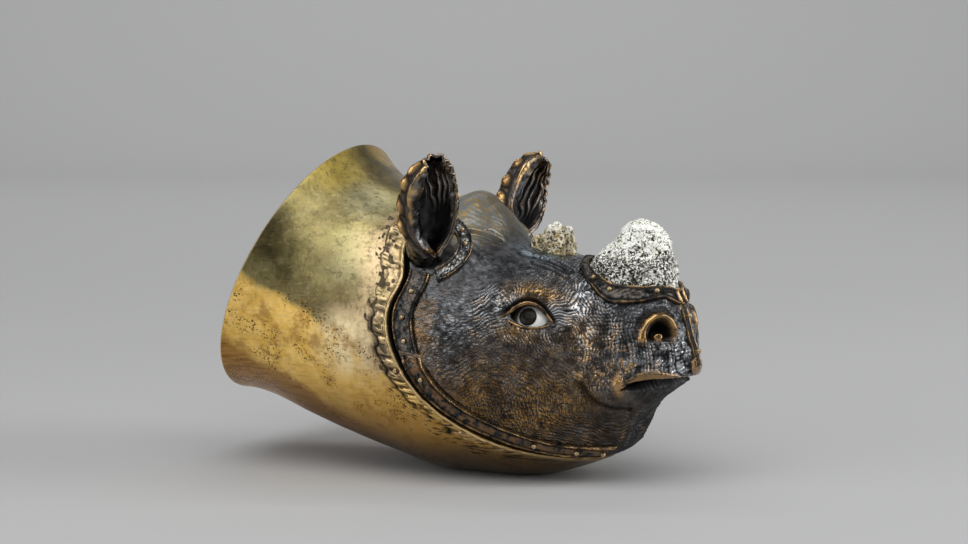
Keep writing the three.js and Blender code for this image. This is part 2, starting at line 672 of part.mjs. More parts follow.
// Horns: stone, cut to sit on the skin
function makeFrontHorn() {
  const rootZ = 60 * STRETCH.z; // below the skin everywhere, so that the base takes its shape from the skin
  const heights = [0, 0.4, 0.5, 0.63, 0.75, 0.87, 0.94, 1];
  const spread = smoothThrough(heights, [1, 0.99, 0.94, 0.75, 0.6, 0.46, 0.34, 0]);
  const leaning = smoothThrough(heights, [0, 0.05, 0.15, 0.62, 1, 1, 1, 1]); // leaves a shoulder behind the tip
  const levels = [0, 0.38, 0.48, 0.56, 0.64, 0.72, 0.8, 0.88, 0.94, 0.98];
  const topZ = skinTop(hornX) + HORN_RISE;
  const rings = levels.map((t) => {
    const z = rootZ + (topZ - rootZ) * t;
    const lean = HORN_LEAN * leaning(t);
    return Array.from({ length: 16 }, (_, i) => {
      const a = (2 * Math.PI * i) / 16;
      const x = hornX + lean + (HORN_LENGTH / 2) * spread(t) * Math.cos(a);
      return new THREE.Vector3(x, (HORN_WIDTH / 2) * spread(t) * Math.sin(a), z);
    });
  });
  const end = new THREE.Vector3(hornX + HORN_LEAN, 0, topZ);
  return loft(rings, { end }).subtract(skinSolid(FIT_GAP));
}

function makeRearHorn() {
  const knob = (x, y, size, top) => {
    const ball = new THREE.SphereGeometry(1, 12, 8);
    ball.rotateX(Math.PI / 2).scale(size * REAR_HORN_LENGTH, size * REAR_HORN_WIDTH, REAR_HORN_LENGTH * 0.6);
    return solidOf(ball.translate(x, y, top - REAR_HORN_LENGTH * 0.6));
  };
  const middle = hornX - REAR_HORN_SETBACK;
  const topZ = skinTop(middle) + REAR_HORN_RISE;
  const fore = middle + REAR_HORN_LENGTH * 0.23;
  const aft = middle - REAR_HORN_LENGTH * 0.31;
  const peak = knob(middle, 0, 0.36, topZ);
  const foreLobe = knob(fore, REAR_HORN_WIDTH * 0.06, 0.22, topZ - REAR_HORN_LENGTH * 0.04);
  const aftLobe = knob(aft, REAR_HORN_WIDTH * -0.045, 0.3, topZ - REAR_HORN_LENGTH * 0.245);
  return peak.add(foreLobe).add(aftLobe).subtract(skinSolid(FIT_GAP));
}

// Ears: curled leaves that stand on the skin, each with a peg into the head
function makeEar(side) {
  const lean = radians(EAR_LEAN);
  const splay = radians(EAR_SPLAY);
  const axis = new THREE.Vector3(Math.sin(lean), Math.sin(splay), Math.cos(lean) * Math.cos(splay)).normalize();
  const isLeft = side === SIDES.left;
  const length = isLeft ? LEFT_EAR_LENGTH : RIGHT_EAR_LENGTH;
  const turned = radians(isLeft ? LEFT_EAR_TURN : RIGHT_EAR_TURN);
  const facing = new THREE.Vector3(Math.cos(turned), Math.sin(turned), 0);
  const open = facing.addScaledVector(axis, -facing.dot(axis)).normalize();
  const across = axis.clone().cross(open);
  const root = EAR_PEG_DIAMETER; // length below the skin, which is cut away
  const heights = [0, 0.24, 0.45, 0.7, 0.88, 1];
  const radius = smoothThrough(heights, [0.46, 0.7, 0.94, 1, 0.84, 0.46]);
  const fill = smoothThrough(heights, [0.96, 0.7, 0, 0, 0, 0]); // the ear's foot is solid
  const curl = smoothThrough(heights, [165, 138, 106, 90, 82, 66]); // degrees each way from the ear's back
  const bow = smoothThrough(heights, [0, -0.04, -0.1, -0.14, -0.15, -0.14]); // forwards, in widths
  const arc = spaced(-1, 1, 7);
  const rings = spaced(0, 1, 11).map((t, row) => {
    const scallop = row % 2 ? 5 : 0;
    const r = (EAR_WIDTH / 2) * radius(t);
    const wall = Math.max(Math.min(EAR_WALL, r * 0.6), r * fill(t));
    const centre = earFrame.at.clone().addScaledVector(axis, (length + root) * t - root);
    centre.addScaledVector(open, EAR_WIDTH * bow(t));
    const rim = (size, turn) => {
      const p = centre.clone().addScaledVector(open, -size * Math.cos(turn));
      return p.addScaledVector(across, size * Math.sin(turn));
    };
    const limit = radians(curl(t) - scallop);
    const outside = arc.map((share) => rim(r, share * limit));
    const inside = arc.map((share) => rim(r - wall, share * limit)).reverse();
    return mirrored([...outside, ...inside], side);
  });
  return loft(rings).subtract(skinSolid(FIT_GAP));
}

function earPeg(clearance) {
  const radius = EAR_PEG_DIAMETER / 2 + clearance;
  const peg = new THREE.CylinderGeometry(radius, radius, 2 * (HEAD_WALL + EAR_PEG_END + clearance), 10);
  return standing(peg, earFrame.at, earFrame.out);
}

// Rivets: a domed head on a shank. The place is where the rivet's head sits, seen from the left side.
const RIVET_LIFT = STRAP_LIFT + STRAP_THICKNESS + FIT_GAP;

function rivetGeometry(grip) {
  const r = RIVET_HEAD_DIAMETER / 2;
  const shank = RIVET_SHANK_DIAMETER / 2;
  const profile = [
    new THREE.Vector2(0, -grip),
    new THREE.Vector2(shank, -grip),
    new THREE.Vector2(shank, 0),
    new THREE.Vector2(r, 0),
    new THREE.Vector2(r * 0.72, RIVET_HEAD_HEIGHT * 0.72),
    new THREE.Vector2(0, RIVET_HEAD_HEIGHT),
  ];
  return new THREE.LatheGeometry(profile, 6);
}

function rivetAt(place, lift, side) {
  const { at, out } = skinFrame(place, lift);
  return { at: mirrored([at], side)[0], out: mirrored([out], side)[0], grip: RIVET_GRIP };
}

function rivetHole({ at, out, grip }) {
  const radius = RIVET_SHANK_DIAMETER / 2 + FIT_GAP;
  return standing(new THREE.CylinderGeometry(radius, radius, 2 * (grip + FIT_GAP), 5), at, out);
}

function cutAll(solid, cutters) {
  return cutters.reduce((left, cutter) => left.subtract(cutter), solid);
}

const MIDDLE = 0.5;
const sideRivets = (places, side) => places.map((place) => rivetAt(place, RIVET_LIFT, side));
const cheekPlaces = [27, 15, 5.5].map((turn) => seamCourse(radians(turn), MIDDLE));
const jawPlaces = [-9, -40, -52, -63].map((turn) => seamCourse(radians(turn), MIDDLE));
const earPlaces = [14, 44].map((angle) => earCourse(angle, MIDDLE));
const collarPlaces = [42, 97, 122].map((angle) => collarCourse(angle, MIDDLE));
const nosePlaces = [0.15, 0.75].map((t) => nosePlace(t, MIDDLE));
const PIN_BACK = SEAM_GAP + TONGUE_REACH / 2;
const pinPlaces = [36, -8, -34].map((turn) => ({ x: seamX(radians(turn), PIN_BACK), turn: radians(turn) }));

const rivets = {};
for (const [name, side] of Object.entries(SIDES)) {
  rivets[`cheek_rivet_${name}`] = sideRivets(cheekPlaces, side);
  rivets[`jaw_rivet_${name}`] = sideRivets(jawPlaces, side);
  rivets[`ear_rivet_${name}`] = sideRivets(earPlaces, side);
  rivets[`collar_rivet_${name}`] = sideRivets(collarPlaces, side);
}
rivets.nose_rivet = sideRivets(nosePlaces, SIDES.left);

// Pins through the cup's border and the head's tongue
const PIN_LIFT = BORDER_RISE + FIT_GAP;
const PIN_GRIP = PIN_LIFT + HEAD_WALL + PIN_END;
const pins = {};
for (const [name, side] of Object.entries(SIDES)) {
  pins[`head_pin_${name}`] = pinPlaces.map(({ x, turn }) => {
    const at = bodyPoint(x, turn).addScaledVector(bodyNormal(x, turn), PIN_LIFT);
    return { at: mirrored([at], side)[0], out: mirrored([bodyNormal(x, turn)], side)[0], grip: PIN_GRIP };
  });
}

function makeHead() {
  const mirrorY = (solid) => solid.mirror([0, 1, 0]);
  const bothSides = (solid) => solid.add(mirrorY(solid));
  const seat = eyeRound(EYE_DIAMETER / 2 + EYE_SEAT, EYE_THICKNESS + EYE_SEAT, EYE_THICKNESS + EYE_SEAT);
  const holes = [...Object.values(rivets), ...Object.values(pins)].flat().map(rivetHole);
  const shell = makeHeadShell().add(bothSides(seat)).add(bothSides(eyelids())).add(bothSides(nostrilRim()));
  return cutAll(shell, [
    bothSides(eyeOpening()),
    bothSides(eyeBall(FIT_GAP)),
    bothSides(nostrilHollow()),
    bothSides(earPeg(FIT_GAP)),
    mouthSlit(),
    ...holes,
  ]);
}

// Eyeball with a round pocket for the iris, which looks out square to the flank
function makeEyeball() {
  const front = eyeCentre.clone().addScaledVector(eyeFrame.out, EYE_DIAMETER / 2);
  const radius = IRIS_DIAMETER / 2 + FIT_GAP;
  const pocket = new THREE.CylinderGeometry(radius, radius, 2 * IRIS_DEPTH, 12);
  return eyeBall(0).subtract(standing(pocket, front, eyeFrame.out));
}

function irisGeometry() {
  const r = IRIS_DIAMETER / 2;
  const bottom = FIT_GAP - IRIS_DEPTH;
  const shoulder = -(EYE_DIAMETER - Math.sqrt(EYE_DIAMETER ** 2 - IRIS_DIAMETER ** 2)) / 2;
  const profile = [
    new THREE.Vector2(0, bottom),
    new THREE.Vector2(r, bottom),
    new THREE.Vector2(r, shoulder),
    new THREE.Vector2(r * 0.6, shoulder + (IRIS_DOME - shoulder) * 0.64),
    new THREE.Vector2(0, IRIS_DOME),
  ];
  return new THREE.LatheGeometry(profile, 12);
}

// Finishes
const brass = new THREE.MeshStandardMaterial({ color: "#b8913f", roughness: 0.28, metalness: 1 });
const bronze = new THREE.MeshStandardMaterial({ color: "#3c332c", roughness: 0.42, metalness: 0.9 });
const strapBronze = new THREE.MeshStandardMaterial({ color: "#4a3d2e", roughness: 0.4, metalness: 0.9 });
const rivetBronze = new THREE.MeshStandardMaterial({ color: "#a9854a", roughness: 0.3, metalness: 1 });
const stone = new THREE.MeshStandardMaterial({ color: "#d9d8cc", roughness: 0.75, metalness: 0 });
const shellWhite = new THREE.MeshStandardMaterial({ color: "#ece9df", roughness: 0.2, metalness: 0 });
const darkGlass = new THREE.MeshStandardMaterial({ color: "#1c1a17", roughness: 0.08, metalness: 0 });

function geometryOf(solid) {
  const { vertProperties, triVerts } = solid.getMesh();
  const geometry = new THREE.BufferGeometry();
  geometry.setAttribute("position", new THREE.BufferAttribute(vertProperties, 3));
  geometry.setIndex(new THREE.BufferAttribute(triVerts, 1));
  geometry.computeVertexNormals();
  return geometry;
}

function named(name, geometry, material) {
  const mesh = new THREE.Mesh(geometry, material);
  mesh.name = name;
  return mesh;
}

const piece = (name, solid, material) => named(name, geometryOf(solid), material);

// One rivet for each place, numbered along its strap
function rivetRow(name, places) {
  return places.map(({ at, out, grip }, i) => {
    const mesh = named(`${name}_${i + 1}`, rivetGeometry(grip), rivetBronze);
    mesh.position.copy(at);
    mesh.quaternion.copy(turnAlong(out));
    return mesh;
  });
}

function strapWith(solid, ...rows) {
  return cutAll(solid, rows.flatMap((row) => rivets[row]).map(rivetHole));
}

const vessel = new THREE.Group();
vessel.add(
  piece("cup_shell", cutAll(makeCup(), Object.values(pins).flat().map(rivetHole)), brass),
  piece("inner_bowl", makeBowl(), brass),
);

const head = new THREE.Group();
head.add(
  piece("head_casting", makeHead(), bronze),
  piece("front_horn", makeFrontHorn(), stone),
  piece("rear_horn", makeRearHorn(), stone),
  piece("horn_collar", strapWith(makeCollar(), "collar_rivet_left", "collar_rivet_right"), strapBronze),
  piece("nose_strap", strapWith(makeNoseStrap(), "nose_rivet"), strapBronze),
  ...rivetRow("nose_rivet", rivets.nose_rivet),
);

const eyeballSolid = makeEyeball();
for (const [name, side] of Object.entries(SIDES)) {
  const half = new THREE.Group();
  const onSide = (solid) => (side > 0 ? solid : solid.mirror([0, 1, 0]));
  const front = eyeCentre.clone().addScaledVector(eyeFrame.out, EYE_DIAMETER / 2);
  const iris = named(`iris_${name}`, irisGeometry(), darkGlass);
  iris.position.copy(mirrored([front], side)[0]);
  iris.quaternion.copy(turnAlong(mirrored([eyeFrame.out], side)[0]));
  half.add(
    piece(`ear_${name}`, makeEar(side).add(onSide(earPeg(0))), bronze),
    piece(`ear_strap_${name}`, strapWith(earStrap(side), `ear_rivet_${name}`), strapBronze),
    piece(`cheek_strap_${name}`, strapWith(seamStrap(37, 1, 9, side), `cheek_rivet_${name}`), strapBronze),
    piece(`jaw_strap_${name}`, strapWith(seamStrap(-0.5, -66, 15, side), `jaw_rivet_${name}`), strapBronze),
    piece(`eyeball_${name}`, onSide(eyeballSolid), shellWhite),
    iris,
  );
  for (const row of ["cheek_rivet", "jaw_rivet", "ear_rivet", "collar_rivet"]) {
    half.add(...rivetRow(`${row}_${name}`, rivets[`${row}_${name}`]));
  }
  half.add(...rivetRow(`head_pin_${name}`, pins[`head_pin_${name}`]));
  head.add(half);
}

const rhyton = new THREE.Group();
rhyton.add(vessel, head);
export default rhyton;
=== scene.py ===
"""Looks of the rhyton: a brass cup, a bronze rhinoceros head, riveted straps, stone horns and inlaid eyes.

Sizes are in millimetres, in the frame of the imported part: nose along +X, the animal's left along +Y.
Meshes are turned into metres when they are made.
"""

import functools
import math

import bpy
import numpy as np
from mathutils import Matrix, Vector


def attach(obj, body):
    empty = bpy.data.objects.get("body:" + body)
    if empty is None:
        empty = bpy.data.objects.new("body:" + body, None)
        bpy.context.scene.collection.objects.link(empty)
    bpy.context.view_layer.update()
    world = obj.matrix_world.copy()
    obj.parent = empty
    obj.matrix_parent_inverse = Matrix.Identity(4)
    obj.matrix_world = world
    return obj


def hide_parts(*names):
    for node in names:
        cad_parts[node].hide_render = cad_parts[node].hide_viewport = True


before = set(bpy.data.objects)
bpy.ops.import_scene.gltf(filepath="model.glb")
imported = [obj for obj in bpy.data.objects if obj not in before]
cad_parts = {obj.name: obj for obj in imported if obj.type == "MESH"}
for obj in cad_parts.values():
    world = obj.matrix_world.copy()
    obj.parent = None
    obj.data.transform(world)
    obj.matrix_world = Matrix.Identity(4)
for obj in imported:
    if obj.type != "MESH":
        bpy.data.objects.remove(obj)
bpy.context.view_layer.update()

MM = 0.001
SIDES = {"left": 1, "right": -1}

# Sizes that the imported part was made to
FIT_GAP = 0.3
MOUTH_DIAMETER = 98.5
MOUTH_SETBACK = 73
MOUTH_HEIGHT = 66.8
MOUTH_TILT = 26.2
FLARE_LENGTH = 16
THROAT_DIAMETER = 89.5
BODY_DIAMETER = 87
BELLY_DROP = 0.9
SPINE_LOW = 43.5
CUP_WALL = 1.6
BORDER_WIDTH = 8
BORDER_RISE = 0.9
BOWL_SETBACK = 45
BOWL_DEPTH = 15
BOWL_WALL = 1.4
LIP_REACH = 75
LIP_HEIGHT = 39.7
TONGUE_REACH = 5
SEAM_CENTRE = (51.5, 60.5)
SEAM_REACH = 69
SEAM_DROP = 51.5
SEAM_GAP = 1.2
SEAM_BOW = 3.2
SEAM_BOW_Z = 69
SEAM_BOW_SPREAD = 7
STRAP_LIFT = 0.5
STRAP_THICKNESS = 1.1
STRAP_INSET = 0.4
CHEEK_STRAP_WIDTH = 7
JAW_STRAP_WIDTH = 4.4
EAR_STRAP_WIDTH = 4.6
EAR_STRAP_RADIUS = 10
EAR_STRAP_RISE = 3
COLLAR_WIDTH = 5
NOSE_STRAP_WIDTH = 4.6
RIVET_HEAD_DIAMETER = 2.6
RIVET_HEAD_HEIGHT = 0.9
HORN_X = 51.6
HORN_LENGTH = 31
HORN_WIDTH = 25
HORN_TOP = 89
HORN_LEAN = 3.4
REAR_HORN_X = 23.2
REAR_HORN_LENGTH = 15.5
REAR_HORN_WIDTH = 13
REAR_HORN_TOP = 86
EAR_X = -11
EAR_Z = 76.5
EAR_LENGTHS = {1: 33.5, -1: 37}
EAR_WIDTH = 19.5
EAR_WALL = 2.2
EAR_SPLAY = 27
EAR_LEAN = 24
EAR_TURNS = {1: -4, -1: 27}
EYE_X = 28.5
EYE_Z = 57.5
EYE_LENGTH = 13
EYE_UPPER_RISE = 4
EYE_LOWER_DROP = 2.7
IRIS_DIAMETER = 6.2


# Numbers

def smooth_through(xs, ys):
    """A curve through points that never overshoots them."""
    xs = np.asarray(xs, float)
    ys = np.asarray(ys, float)
    rises = np.diff(ys) / np.diff(xs)
    slopes = np.empty_like(xs)
    slopes[0] = rises[0]
    slopes[-1] = rises[-1]
    before, after = rises[:-1], rises[1:]
    same_way = before * after > 0
    total = np.where(same_way, before + after, 1)
    slopes[1:-1] = np.where(same_way, 2 * before * after / total, 0)

    def curve(at):
        x = np.clip(at, xs[0], xs[-1])
        i = np.clip(np.searchsorted(xs, x, side="left") - 1, 0, len(xs) - 2)
        span = xs[i + 1] - xs[i]
        t = (x - xs[i]) / span
        back = 1 - t
        start = ys[i] * (1 + 2 * t) * back * back + slopes[i] * span * t * back * back
        return start + ys[i + 1] * t * t * (3 - 2 * t) - slopes[i + 1] * span * t * t * back

    return curve


def step(low, high, value):
    """0 below low, 1 above high, and smooth between them. low may be the larger one."""
    t = within((value - low) / (high - low))
    return t * t * (3 - 2 * t)


def hill(distance, reach):
    return np.exp(-((distance / reach) ** 2))


def spot(u, v, reach_u, reach_v):
    """A soft oval hill, from distances to its middle."""
    return hill(np.hypot(u / reach_u, v / reach_v), 1)


def within(value):
    return np.clip(value, 0, 1)


def most(*values):
    """The largest of several values at each place."""
    return functools.reduce(np.maximum, values)


def full_turn(count, start=0.0):
    """Angles evenly spaced all the way round."""
    return np.linspace(start, start + 2 * np.pi, count, endpoint=False)


def unit(v):
    return v / np.linalg.norm(v, axis=-1, keepdims=True)


def lattice(i, j, k, seed):
    """A number from -1 to 1 for each corner of a unit lattice, always the same one."""
    mask = np.uint64(0xFFFFFFFF)
    h = i.astype(np.uint64) * np.uint64(374761393) + j.astype(np.uint64) * np.uint64(668265263)
    h = (h + k.astype(np.uint64) * np.uint64(2246822519) + np.uint64(seed * 974711 + 5381)) & mask
    h = ((h ^ (h >> np.uint64(13))) * np.uint64(1274126177)) & mask
    h = ((h ^ (h >> np.uint64(15))) * np.uint64(2654435761)) & mask
    h = h ^ (h >> np.uint64(16))
    return h.astype(float) / 2147483648.0 - 1


def noise(p, seed=0):
    """Smooth noise from -1 to 1 with features about 1 unit wide."""
    base = np.floor(p)
    f = p - base
    f = f * f * f * (f * (f * 6 - 15) + 10)
    cell = base.astype(np.int64) + 40000
    out = 0
    for dx in (0, 1):
        for dy in (0, 1):
            for dz in (0, 1):
                share = (f[..., 0] if dx else 1 - f[..., 0]) * (f[..., 1] if dy else 1 - f[..., 1])
                share = share * (f[..., 2] if dz else 1 - f[..., 2])
                out = out + share * lattice(cell[..., 0] + dx, cell[..., 1] + dy, cell[..., 2] + dz, seed)
    return out


def cloudy(p, seed=0, octaves=3):
    """Noise with finer and weaker noise on it."""
    return sum(noise(p * 2.1 ** k, seed + 17 * k) * 0.5 ** k for k in range(octaves))


def lengths_along(line):
    """How far along a line each of its points is."""
    return np.concatenate([[0], np.cumsum(np.linalg.norm(np.diff(line, axis=0), axis=1))])


def beside(p, path):
    """Distance of each point from a line through points."""
    path = np.asarray(path, float)
    best = np.full(p.shape[:-1], np.inf)
    for a, b in zip(path[:-1], path[1:]):
        along = np.clip(((p - a) @ (b - a)) / np.linalg.norm(b - a) ** 2, 0, 1)
        best = np.minimum(best, np.linalg.norm(p - a - along[..., None] * (b - a), axis=-1))
    return best


# Body: ovals about a spine, from the mouth of the cup to the tip of the lip

def cup_section(depth, diameter):
    tilt = math.radians(MOUTH_TILT)
    x = -MOUTH_SETBACK + depth * math.cos(tilt)
    return round_section(x, MOUTH_HEIGHT - depth * math.sin(tilt), MOUTH_TILT, diameter)


def round_section(x, z, tilt, diameter):
    return (x, z, tilt, diameter / 2, diameter / 2, diameter / 2, 2)


def face_section(x, waist, half, top, bottom, square):
    return (x, waist, 0, half, top - waist, waist - bottom + BELLY_DROP, square)


def spine_height(share):
    return SPINE_LOW + (MOUTH_HEIGHT - SPINE_LOW) * share


SECTIONS = [
    cup_section(0, MOUTH_DIAMETER),
    cup_section(FLARE_LENGTH * 0.4, THROAT_DIAMETER + (MOUTH_DIAMETER - THROAT_DIAMETER) * 0.42),
    cup_section(FLARE_LENGTH, THROAT_DIAMETER),
    round_section(-0.61 * MOUTH_SETBACK, spine_height(0.45), 20, (THROAT_DIAMETER + BODY_DIAMETER) / 2),
    round_section(-0.35 * MOUTH_SETBACK, spine_height(0.167), 13, BODY_DIAMETER),
    (-0.137 * MOUTH_SETBACK, spine_height(0.039), 5, 43, 43.2, 44.1 + BELLY_DROP, 2),
    face_section(0, SPINE_LOW, 42, 86, 0.1, 2),
    face_section(10, 43, 39.5, 80, 0, 2.05),
    face_section(20, 42.5, 36, 77, 0.7, 2.1),
    face_section(30, 42, 32, 75.5, 3.1, 2.15),
    face_section(40, 42, 27.5, 72, 6.7, 2.2),
    face_section(48, 42, 24.5, 70.7, 10.4, 2.25),
    face_section(52, 42.2, 23.2, 70.2, 13, 2.3),
    face_section(55, 42.5, 22.4, 69.8, 20.9, 2.35),
    face_section(60, 43, 20.6, 68.6, 27.5, 2.4),
    face_section(66, 43.5, 17, 66.6, 32.3, 2.4),
    face_section(69, 43.5, 13.8, 60.8, 34.5, 2.3),
    face_section(72, 42.5, 9, 50, 36.7, 2.2),
    face_section(74, 41, 4.6, 44, 38.5, 2.1),
    (LIP_REACH, LIP_HEIGHT, 0, 0, 0, 0, 2),
]
STATIONS = [section[0] for section in SECTIONS]
spine_z, tilt_at, half_at, up_at, down_at, square_at = (
    smooth_through(STATIONS, [section[k] for section in SECTIONS]) for k in range(1, 7)
)


def body_point(x, turn, inset=0):
    """A point of the plain body. turn is in radians: belly -90, left 0, crown 90, right 180 degrees."""
    x = np.asarray(x, float)
    tilt = np.radians(tilt_at(x))
    power = 2 / square_at(x)
    across, upwards = np.cos(turn), np.sin(turn)
    half = np.maximum(half_at(x) - inset, 0)
    rise = np.maximum(np.where(upwards > 0, up_at(x), down_at(x)) - inset, 0)
    y = half * np.sign(across) * np.abs(across) ** power
    v = rise * np.sign(upwards) * np.abs(upwards) ** power
    return np.stack([x + np.sin(tilt) * v, y, spine_z(x) + np.cos(tilt) * v], -1)


def body_normal(x, turn):
    ahead = body_point(x + 0.2, turn) - body_point(x - 0.2, turn)
    around = body_point(x, turn + 0.02) - body_point(x, turn - 0.02)
    return unit(np.cross(around, ahead) + 1e-12)


# Soft swellings and hollows of the head: where, how far they reach each way and how high
SWELLINGS = [
    ((-6, 0, 88), (10, 15, 30), 9),
    ((27, 30, 65), (9, 9, 4.5), 2.6),
    ((29, 31, 50), (9, 12, 4), 1.2),
    ((8, 36, 66), (9, 14, 8), -2),
    ((4, 40, 38), (15, 22, 14), 2),
    ((46, 25, 54), (6, 10, 10), -2.4),
    ((66, 16, 47), (6, 8, 8), 1.2),
    ((55, 22, 36), (4, 8, 5), 2.2),
    ((68, 13, 38.6), (7, 10, 2.4), 1.4),
    ((36, 26, 22), (14, 14, 8), 1.2),
]


def swelling(p):
    folded = np.stack([p[..., 0], np.abs(p[..., 1]), p[..., 2]], -1)
    return sum(rise * np.exp(-(((folded - at) / reach) ** 2).sum(-1)) for at, reach, rise in SWELLINGS)


def skin_point(x, turn, lift=0):
    p = body_point(x, turn)
    return p + body_normal(x, turn) * (swelling(p) + lift)[..., None]


X, Y, Z = np.eye(3)


def skin_under(point, e1, e2, x, turn):
    """The places on the skin that points fall on, going square to the directions e1 and e2."""
    point = np.asarray(point, float)
    x = np.broadcast_to(np.asarray(x, float), point.shape[:-1]).copy()
    turn = np.broadcast_to(np.asarray(turn, float), point.shape[:-1]).copy()

    def miss(x, turn):
        off = skin_point(x, turn) - point
        return off @ e1, off @ e2

    x_nudge, turn_nudge = 0.05, 0.004
    for _ in range(14):
        a, b = miss(x, turn)
        ax, bx = np.subtract(miss(x + x_nudge, turn), (a, b)) / x_nudge
        at, bt = np.subtract(miss(x, turn + turn_nudge), (a, b)) / turn_nudge
        det = ax * bt - at * bx
        x = np.minimum(x - (a * bt - b * at) / det, LIP_REACH - 0.05)
        turn = turn - np.clip((b * ax - a * bx) / det, -0.25, 0.25)
    return x, turn


def flank_place(x, z):
    """The places on the left flank that show at x and z in the side view."""
    x = np.asarray(x, float)
    z = np.asarray(z, float)
    high = z - spine_z(x)
    turn = np.arcsin(np.clip(high / np.where(high > 0, up_at(x), down_at(x)), -0.95, 0.95))
    return skin_under(np.stack([x, 0 * x, z], -1), X, Z, x, turn)


def top_place(x, y):
    """The places on top of the head that show at x and y in the top view."""
    x = np.asarray(x, float)
    y = np.asarray(y, float)
    turn = np.arccos(np.clip(y / half_at(x), -0.9, 0.9))
    return skin_under(np.stack([x, y, 0 * x], -1), X, Y, x, turn)


class SkinFrame:
    """A point of the skin with the way out, and the ways forward and up along the skin."""

    def __init__(self, place):
        self.place = place
        self.at = skin_point(*place)
        self.out = body_normal(*place)
        self.forward = unit(X - self.out * self.out[0])
        self.up = np.cross(self.forward, self.out)

    def flat(self, p):
        """Distances forward and up of points from the middle."""
        off = p - self.at
        return off @ self.forward, off @ self.up

    def places(self, points):
        """The places on the skin of points given by distances forward and up."""
        points = np.asarray(points, float)
        at = self.at + points[..., :1] * self.forward + points[..., 1:2] * self.up
        return skin_under(at, self.forward, self.up, *self.place)


EYE = SkinFrame(flank_place(EYE_X, EYE_Z))
EAR = SkinFrame(flank_place(EAR_X, EAR_Z))


def beyond_seam(p, back, down):
    """Signed place beside the seam between cup and head, above 0 on the head's side."""
    reach = SEAM_REACH + back
    drop = SEAM_DROP + down
    behind = SEAM_CENTRE[0] - p[..., 0] + SEAM_BOW * hill(p[..., 2] - SEAM_BOW_Z, SEAM_BOW_SPREAD)
    below = SEAM_CENTRE[1] - p[..., 2]
    oval = (1 - np.hypot(behind / reach, below / drop)) * np.minimum(reach, drop)
    return np.where(below <= 0, reach - behind, np.where(behind <= 0, drop - below, oval))


def seam_x(turn, back=0, down=None):
    """The section along lines of the body where they cross the seam, grown back and down."""
    turn = np.asarray(turn, float)
    down = back if down is None else down
    behind = np.full(np.broadcast(turn, back).shape, -float(MOUTH_SETBACK))
    front = np.full_like(behind, float(LIP_REACH))
    for _ in range(36):
        middle = (behind + front) / 2
        ahead = beyond_seam(body_point(middle, turn), back, down) > 0
        front = np.where(ahead, middle, front)
        behind = np.where(ahead, behind, middle)
    return (behind + front) / 2


# Meshes

def grid_normals(points, hoop=False):
    """Normals of a grid of points. hoop says that its columns join up."""
    if hoop:
        around = np.roll(points, -1, 1) - np.roll(points, 1, 1)
    else:
        around = np.gradient(points, axis=1)
    return unit(np.cross(np.gradient(points, axis=0), around) + 1e-15)


def halved(normals):
    """Normals of half a shape, with those of its outer columns laid into the middle plane."""
    for column in (0, -1):
        normals[:, column] = unit(normals[:, column] * (1, 0, 1))
    return normals


def grid_faces(rows, columns, hoop=False, rows_join=False):
    i = np.arange(rows if rows_join else rows - 1)[:, None]
    j = np.arange(columns if hoop else columns - 1)[None, :]
    a = i * columns + j
    b = i * columns + (j + 1) % columns
    c = ((i + 1) % rows) * columns + (j + 1) % columns
    d = ((i + 1) % rows) * columns + j
    return np.stack([a, d, c, b], -1).reshape(-1, 4)


class Sheet:
    """Grids of points with their faces and per-vertex masks, gathered into one mesh."""

    def __init__(self):
        self.points, self.faces, self.masks, self.normals = [], [], {}, []
        self.count = 0

    def add(self, points, side=1, hoop=False, rows_join=False, flip=False, normals=None, **masks):
        """Adds a grid of points of the left side, mirrored for the other one. flip turns its faces over."""
        grid = points.shape[:2]
        faces = grid_faces(*grid, hoop, rows_join) + self.count
        self.faces.append(faces[:, ::-1] if flip != (side < 0) else faces)
        points = points.reshape(-1, 3) * (1, side, 1)
        self.points.append(points)
        self.normals.append(None if normals is None else normals.reshape(-1, 3) * (1, side, 1))
        for name in {**self.masks, **masks}:
            kept = self.masks.setdefault(name, [np.zeros(self.count)])
            kept.append(np.broadcast_to(np.asarray(masks.get(name, 0), float), grid).reshape(-1))
        self.count += len(points)
        return self

    def build(self, name, material, slot, replaces=()):
        mesh = bpy.data.meshes.new(name)
        mesh.from_pydata((np.concatenate(self.points) * MM).tolist(), [], np.concatenate(self.faces).tolist())
        for mask, values in self.masks.items():
            layer = mesh.attributes.new(mask, "FLOAT", "POINT")
            layer.data.foreach_set("value", np.concatenate(values).astype(np.float32))
        mesh.shade_smooth()
        if all(n is not None for n in self.normals):
            mesh.normals_split_custom_set_from_vertices(np.concatenate(self.normals).tolist())
        mesh.materials.append(material)
        piece = bpy.data.objects.new(name, mesh)
        bpy.context.scene.collection.objects.link(piece)
        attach(piece, "root")
        if replaces:
            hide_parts(*replaces)


def tube(path, outs, wide, high, sides):
    """A swept bead: its middle line, the way out at each point, and its half widths and half heights."""
    tangent = unit(np.gradient(path, axis=0))
    side = unit(np.cross(tangent, outs))
    outs = np.cross(side, tangent)
    angle = full_turn(sides)
    ring = side[:, None] * np.cos(angle)[None, :, None] * np.asarray(wide)[:, None, None]
    ring = ring + outs[:, None] * np.sin(angle)[None, :, None] * np.asarray(high)[:, None, None]
    return path[:, None] + ring


